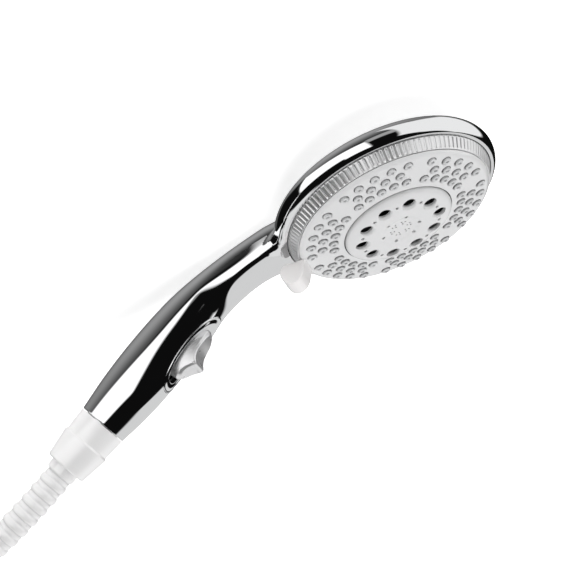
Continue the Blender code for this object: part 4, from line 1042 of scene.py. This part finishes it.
def make_end_nut():
    """A hexagonal nut with chamfered corners, bored for the ferrule and threaded for the outlet."""
    low, high, corner, throat = 6.0, 26.0, 13.35, 7.6
    body = [
        (0, low), (corner - 1.5, low), (corner, low + 0.9), (corner, high - 0.9), (corner - 1.5, high),
        (0, high),
    ]
    nut = turned("end_nut_hex", body, 96, OUTLET, PALE_METAL, "end_nut",
                 stands_for=("end_nut",), slot="pale_metal")
    turns = [math.radians(60 * i + 30) for i in range(6)]
    hexagon = np.array([(corner * math.cos(turn), corner * math.sin(turn)) for turn in turns])
    flats = add("hexagon", make_mesh("hexagon", *prism(hexagon, low - 2, high + 2)), OUTLET)
    hollow = [
        (0, 0), (throat, 0), (throat, 14.4), (NUT_BORE, 14.4), (NUT_BORE, high - 0.6), (11.5, high + 0.2),
        (0, high + 0.2),
    ]
    boolean(nut, flats, "INTERSECT")
    boolean(nut, add("nut_bore", make_mesh("nut_bore", *revolve(hollow, 64)), OUTLET))
    return apply(nut, 30)


hose_nut = make_nut()
hose, hose_path = make_hose()
tie = make_tie()
end_nut = make_end_nut()


# ---- floor, light and camera

FLOOR_SIDE = 16.0
BACKDROP_DISTANCE, BACKDROP_MIDDLE = 8.0, 7.9
FLOOR_GLOW = 0.67
LIGHT_PLACE, LIGHT_SIZE, LIGHT_POWER = (0.1, 0.2, 2.0), (3.0, 2.4), 40
WALL_LEVEL, LEFT_LEVEL, BACK_LEVEL, DARK_LEVEL = 1.15, 0.86, 0.66, 0.004

# The camera in the head's frame, in millimetres
CAMERA_PLACE = (-8.754, -735.57, 403.85)
CAMERA_RIGHT = (-0.8835, 0.2828, 0.3735)
CAMERA_UP = (-0.4613, -0.3857, -0.799)
LENS, SENSOR = 115.24, 36


def link_new(name, data):
    obj = bpy.data.objects.new(name, data)
    bpy.context.scene.collection.objects.link(obj)
    return obj


def panel(name, centre, facing, mat):
    """A square studio panel that faces a point."""
    bm = bmesh.new()
    bmesh.ops.create_grid(bm, x_segments=1, y_segments=1, size=0.5)
    mesh = bpy.data.meshes.new(name)
    bm.to_mesh(mesh)
    bm.free()
    obj = link_new(name, mesh)
    centre = Vector(centre)
    turn = (Vector(facing) - centre).to_track_quat("Z", "Y").to_matrix().to_4x4()
    scale = Matrix.Diagonal((FLOOR_SIDE, FLOOR_SIDE, 1, 1))
    obj.matrix_world = Matrix.Translation(centre) @ turn @ scale
    mesh.materials.append(mat)
    return obj


def studio_world():
    """Soft cards round the object, as a radiance for each direction, in degrees: two low white walls with a
    dark gap between them, a pale wall behind, a dark ceiling, and the table darkening away from the object."""
    world = bpy.data.worlds.new("studio")
    bpy.context.scene.world = world
    world.use_nodes = True
    tree = world.node_tree

    def put(kind, **settings):
        made = tree.nodes.new(kind)
        for key, value in settings.items():
            setattr(made, key, value)
        return made

    def feed(made, index, value):
        if isinstance(value, bpy.types.NodeSocket):
            tree.links.new(value, made.inputs[index])
        else:
            made.inputs[index].default_value = value

    def maths(operation, *values):
        made = put("ShaderNodeMath", operation=operation)
        for index, value in enumerate(values):
            feed(made, index, value)
        return made.outputs[0]

    def ramp(value, low, high, start=0.0, end=1.0):
        made = put("ShaderNodeMapRange", interpolation_type="SMOOTHSTEP")
        for index, number in enumerate((value, low, high, start, end)):
            feed(made, index, number)
        return made.outputs[0]

    def between(value, low, high, soft):
        rise, fall = ramp(value, low - soft, low + soft), ramp(value, high - soft, high + soft, 1.0, 0.0)
        return maths("MULTIPLY", rise, fall)

    def card(left, right, foot, top, soft, level):
        mask = maths("MULTIPLY", between(azimuth, left, right, soft), between(climb, foot, top, soft))
        return maths("MULTIPLY", mask, level)

    split = put("ShaderNodeSeparateXYZ")
    tree.links.new(put("ShaderNodeTexCoord").outputs["Generated"], split.inputs[0])
    x, y, z = split.outputs
    # Azimuth runs from 0 at -X through 90 at -Y, the camera's side, to 180 at +X and 270 at +Y.
    half_turn = maths("ARCTAN2", y, x)
    azimuth = maths("MULTIPLY", maths("ADD", half_turn, math.pi), 180 / math.pi)
    climb = maths("MULTIPLY", maths("ARCSINE", z), 180 / math.pi)
    lean = maths("MULTIPLY_ADD", azimuth, 0.42, climb)
    right_wall = maths("MULTIPLY", between(azimuth, 81, 158, 2), between(lean, 15, 63, 2.5))
    right_top = maths("MULTIPLY", between(azimuth, 81, 108, 2), between(lean, 15, 73, 2.5))
    round_left = maths("MODULO", maths("ADD", azimuth, 60), 360)
    droop = maths("MULTIPLY_ADD", maths("MAXIMUM", maths("SUBTRACT", round_left, 75), 0), 0.4, climb)
    left_wall = maths("MULTIPLY", between(round_left, 20, 112, 3), between(droop, -48, 49, 3))
    step_up = maths("MULTIPLY_ADD", maths("MAXIMUM", maths("SUBTRACT", azimuth, 275), 0), -2.6, climb)
    back_wall = maths("MULTIPLY", between(azimuth, 232, 318, 5), between(climb, -34, 68, 5))
    back_wall = maths("MULTIPLY", back_wall, ramp(step_up, -29, -19))
    wedge = maths("MULTIPLY", between(azimuth, 162, 218, 4), ramp(climb, -58, -48))
    table = maths("MULTIPLY", ramp(climb, -26, -34), ramp(climb, -28, -86, 0.06, 0.34))
    levels = [
        maths("MULTIPLY", right_wall, WALL_LEVEL),
        maths("MULTIPLY", right_top, WALL_LEVEL),
        maths("MULTIPLY", left_wall, LEFT_LEVEL),
        card(50, 81, -26, -6, 4, 0.35),
        maths("MULTIPLY", back_wall, BACK_LEVEL),
        maths("MULTIPLY", table, maths("SUBTRACT", 1.0, wedge)),
        card(184, 240, 13, 58, 4, 0.75),
    ]
    total = levels[0]
    for level in levels[1:]:
        total = maths("MAXIMUM", total, level)
    total = maths("MAXIMUM", total, DARK_LEVEL)
    back = tree.nodes["Background"]
    tree.links.new(total, back.inputs["Color"])
    back.inputs["Strength"].default_value = 1.0


def glowing(name, colour, roughness, strength):
    return material(name, colour, roughness, Specular_IOR_Level=0.0, Emission_Strength=strength,
                    Emission_Color=(1, 1, 1, 1))


def make_stage():
    """A white floor and walls, seen by the camera but not by the chrome, and one soft light."""
    floor_mat = glowing("pale_floor", (0.93, 0.93, 0.93), 0.9, FLOOR_GLOW)
    floor = panel("floor", (0, 0, 0), (0, 0, 1), floor_mat)
    floor.visible_glossy = False
    glow = glowing("backdrop", (0, 0, 0), 1.0, 1.0)
    for index in range(4):
        angle = index * math.pi / 2
        x, y = BACKDROP_DISTANCE * math.cos(angle), BACKDROP_DISTANCE * math.sin(angle)
        wall = panel(f"backdrop_{index}", (x, y, BACKDROP_MIDDLE), (0, 0, BACKDROP_MIDDLE), glow)
        wall.visible_glossy = wall.visible_diffuse = False
    studio_world()
    data = bpy.data.lights.new("overhead", "AREA")
    data.shape, data.energy = "RECTANGLE", LIGHT_POWER
    data.size, data.size_y = LIGHT_SIZE
    light = link_new("overhead", data)
    light.location = LIGHT_PLACE
    light.rotation_euler = (Vector((0, 0, 0)) - light.location).to_track_quat("-Z", "Y").to_euler()
    light.visible_glossy = False


def make_camera():
    data = bpy.data.cameras.new("camera")
    camera = link_new("camera", data)
    data.sensor_width = SENSOR
    data.lens = LENS
    data.clip_start, data.clip_end = 0.05, 50
    turn = HEAD.to_3x3() * 1000
    right, up = turn @ Vector(CAMERA_RIGHT), turn @ Vector(CAMERA_UP)
    back = right.cross(up).normalized()
    up = back.cross(right).normalized()
    place = Matrix((right.normalized(), up, back)).transposed().to_4x4()
    camera.matrix_world = Matrix.Translation(HEAD @ Vector(CAMERA_PLACE)) @ place
    bpy.context.scene.camera = camera


make_stage()
make_camera()
bpy.context.scene.view_settings.view_transform = "Standard"
bpy.context.scene.view_settings.look = "None"

bpy.context.view_layer.update()
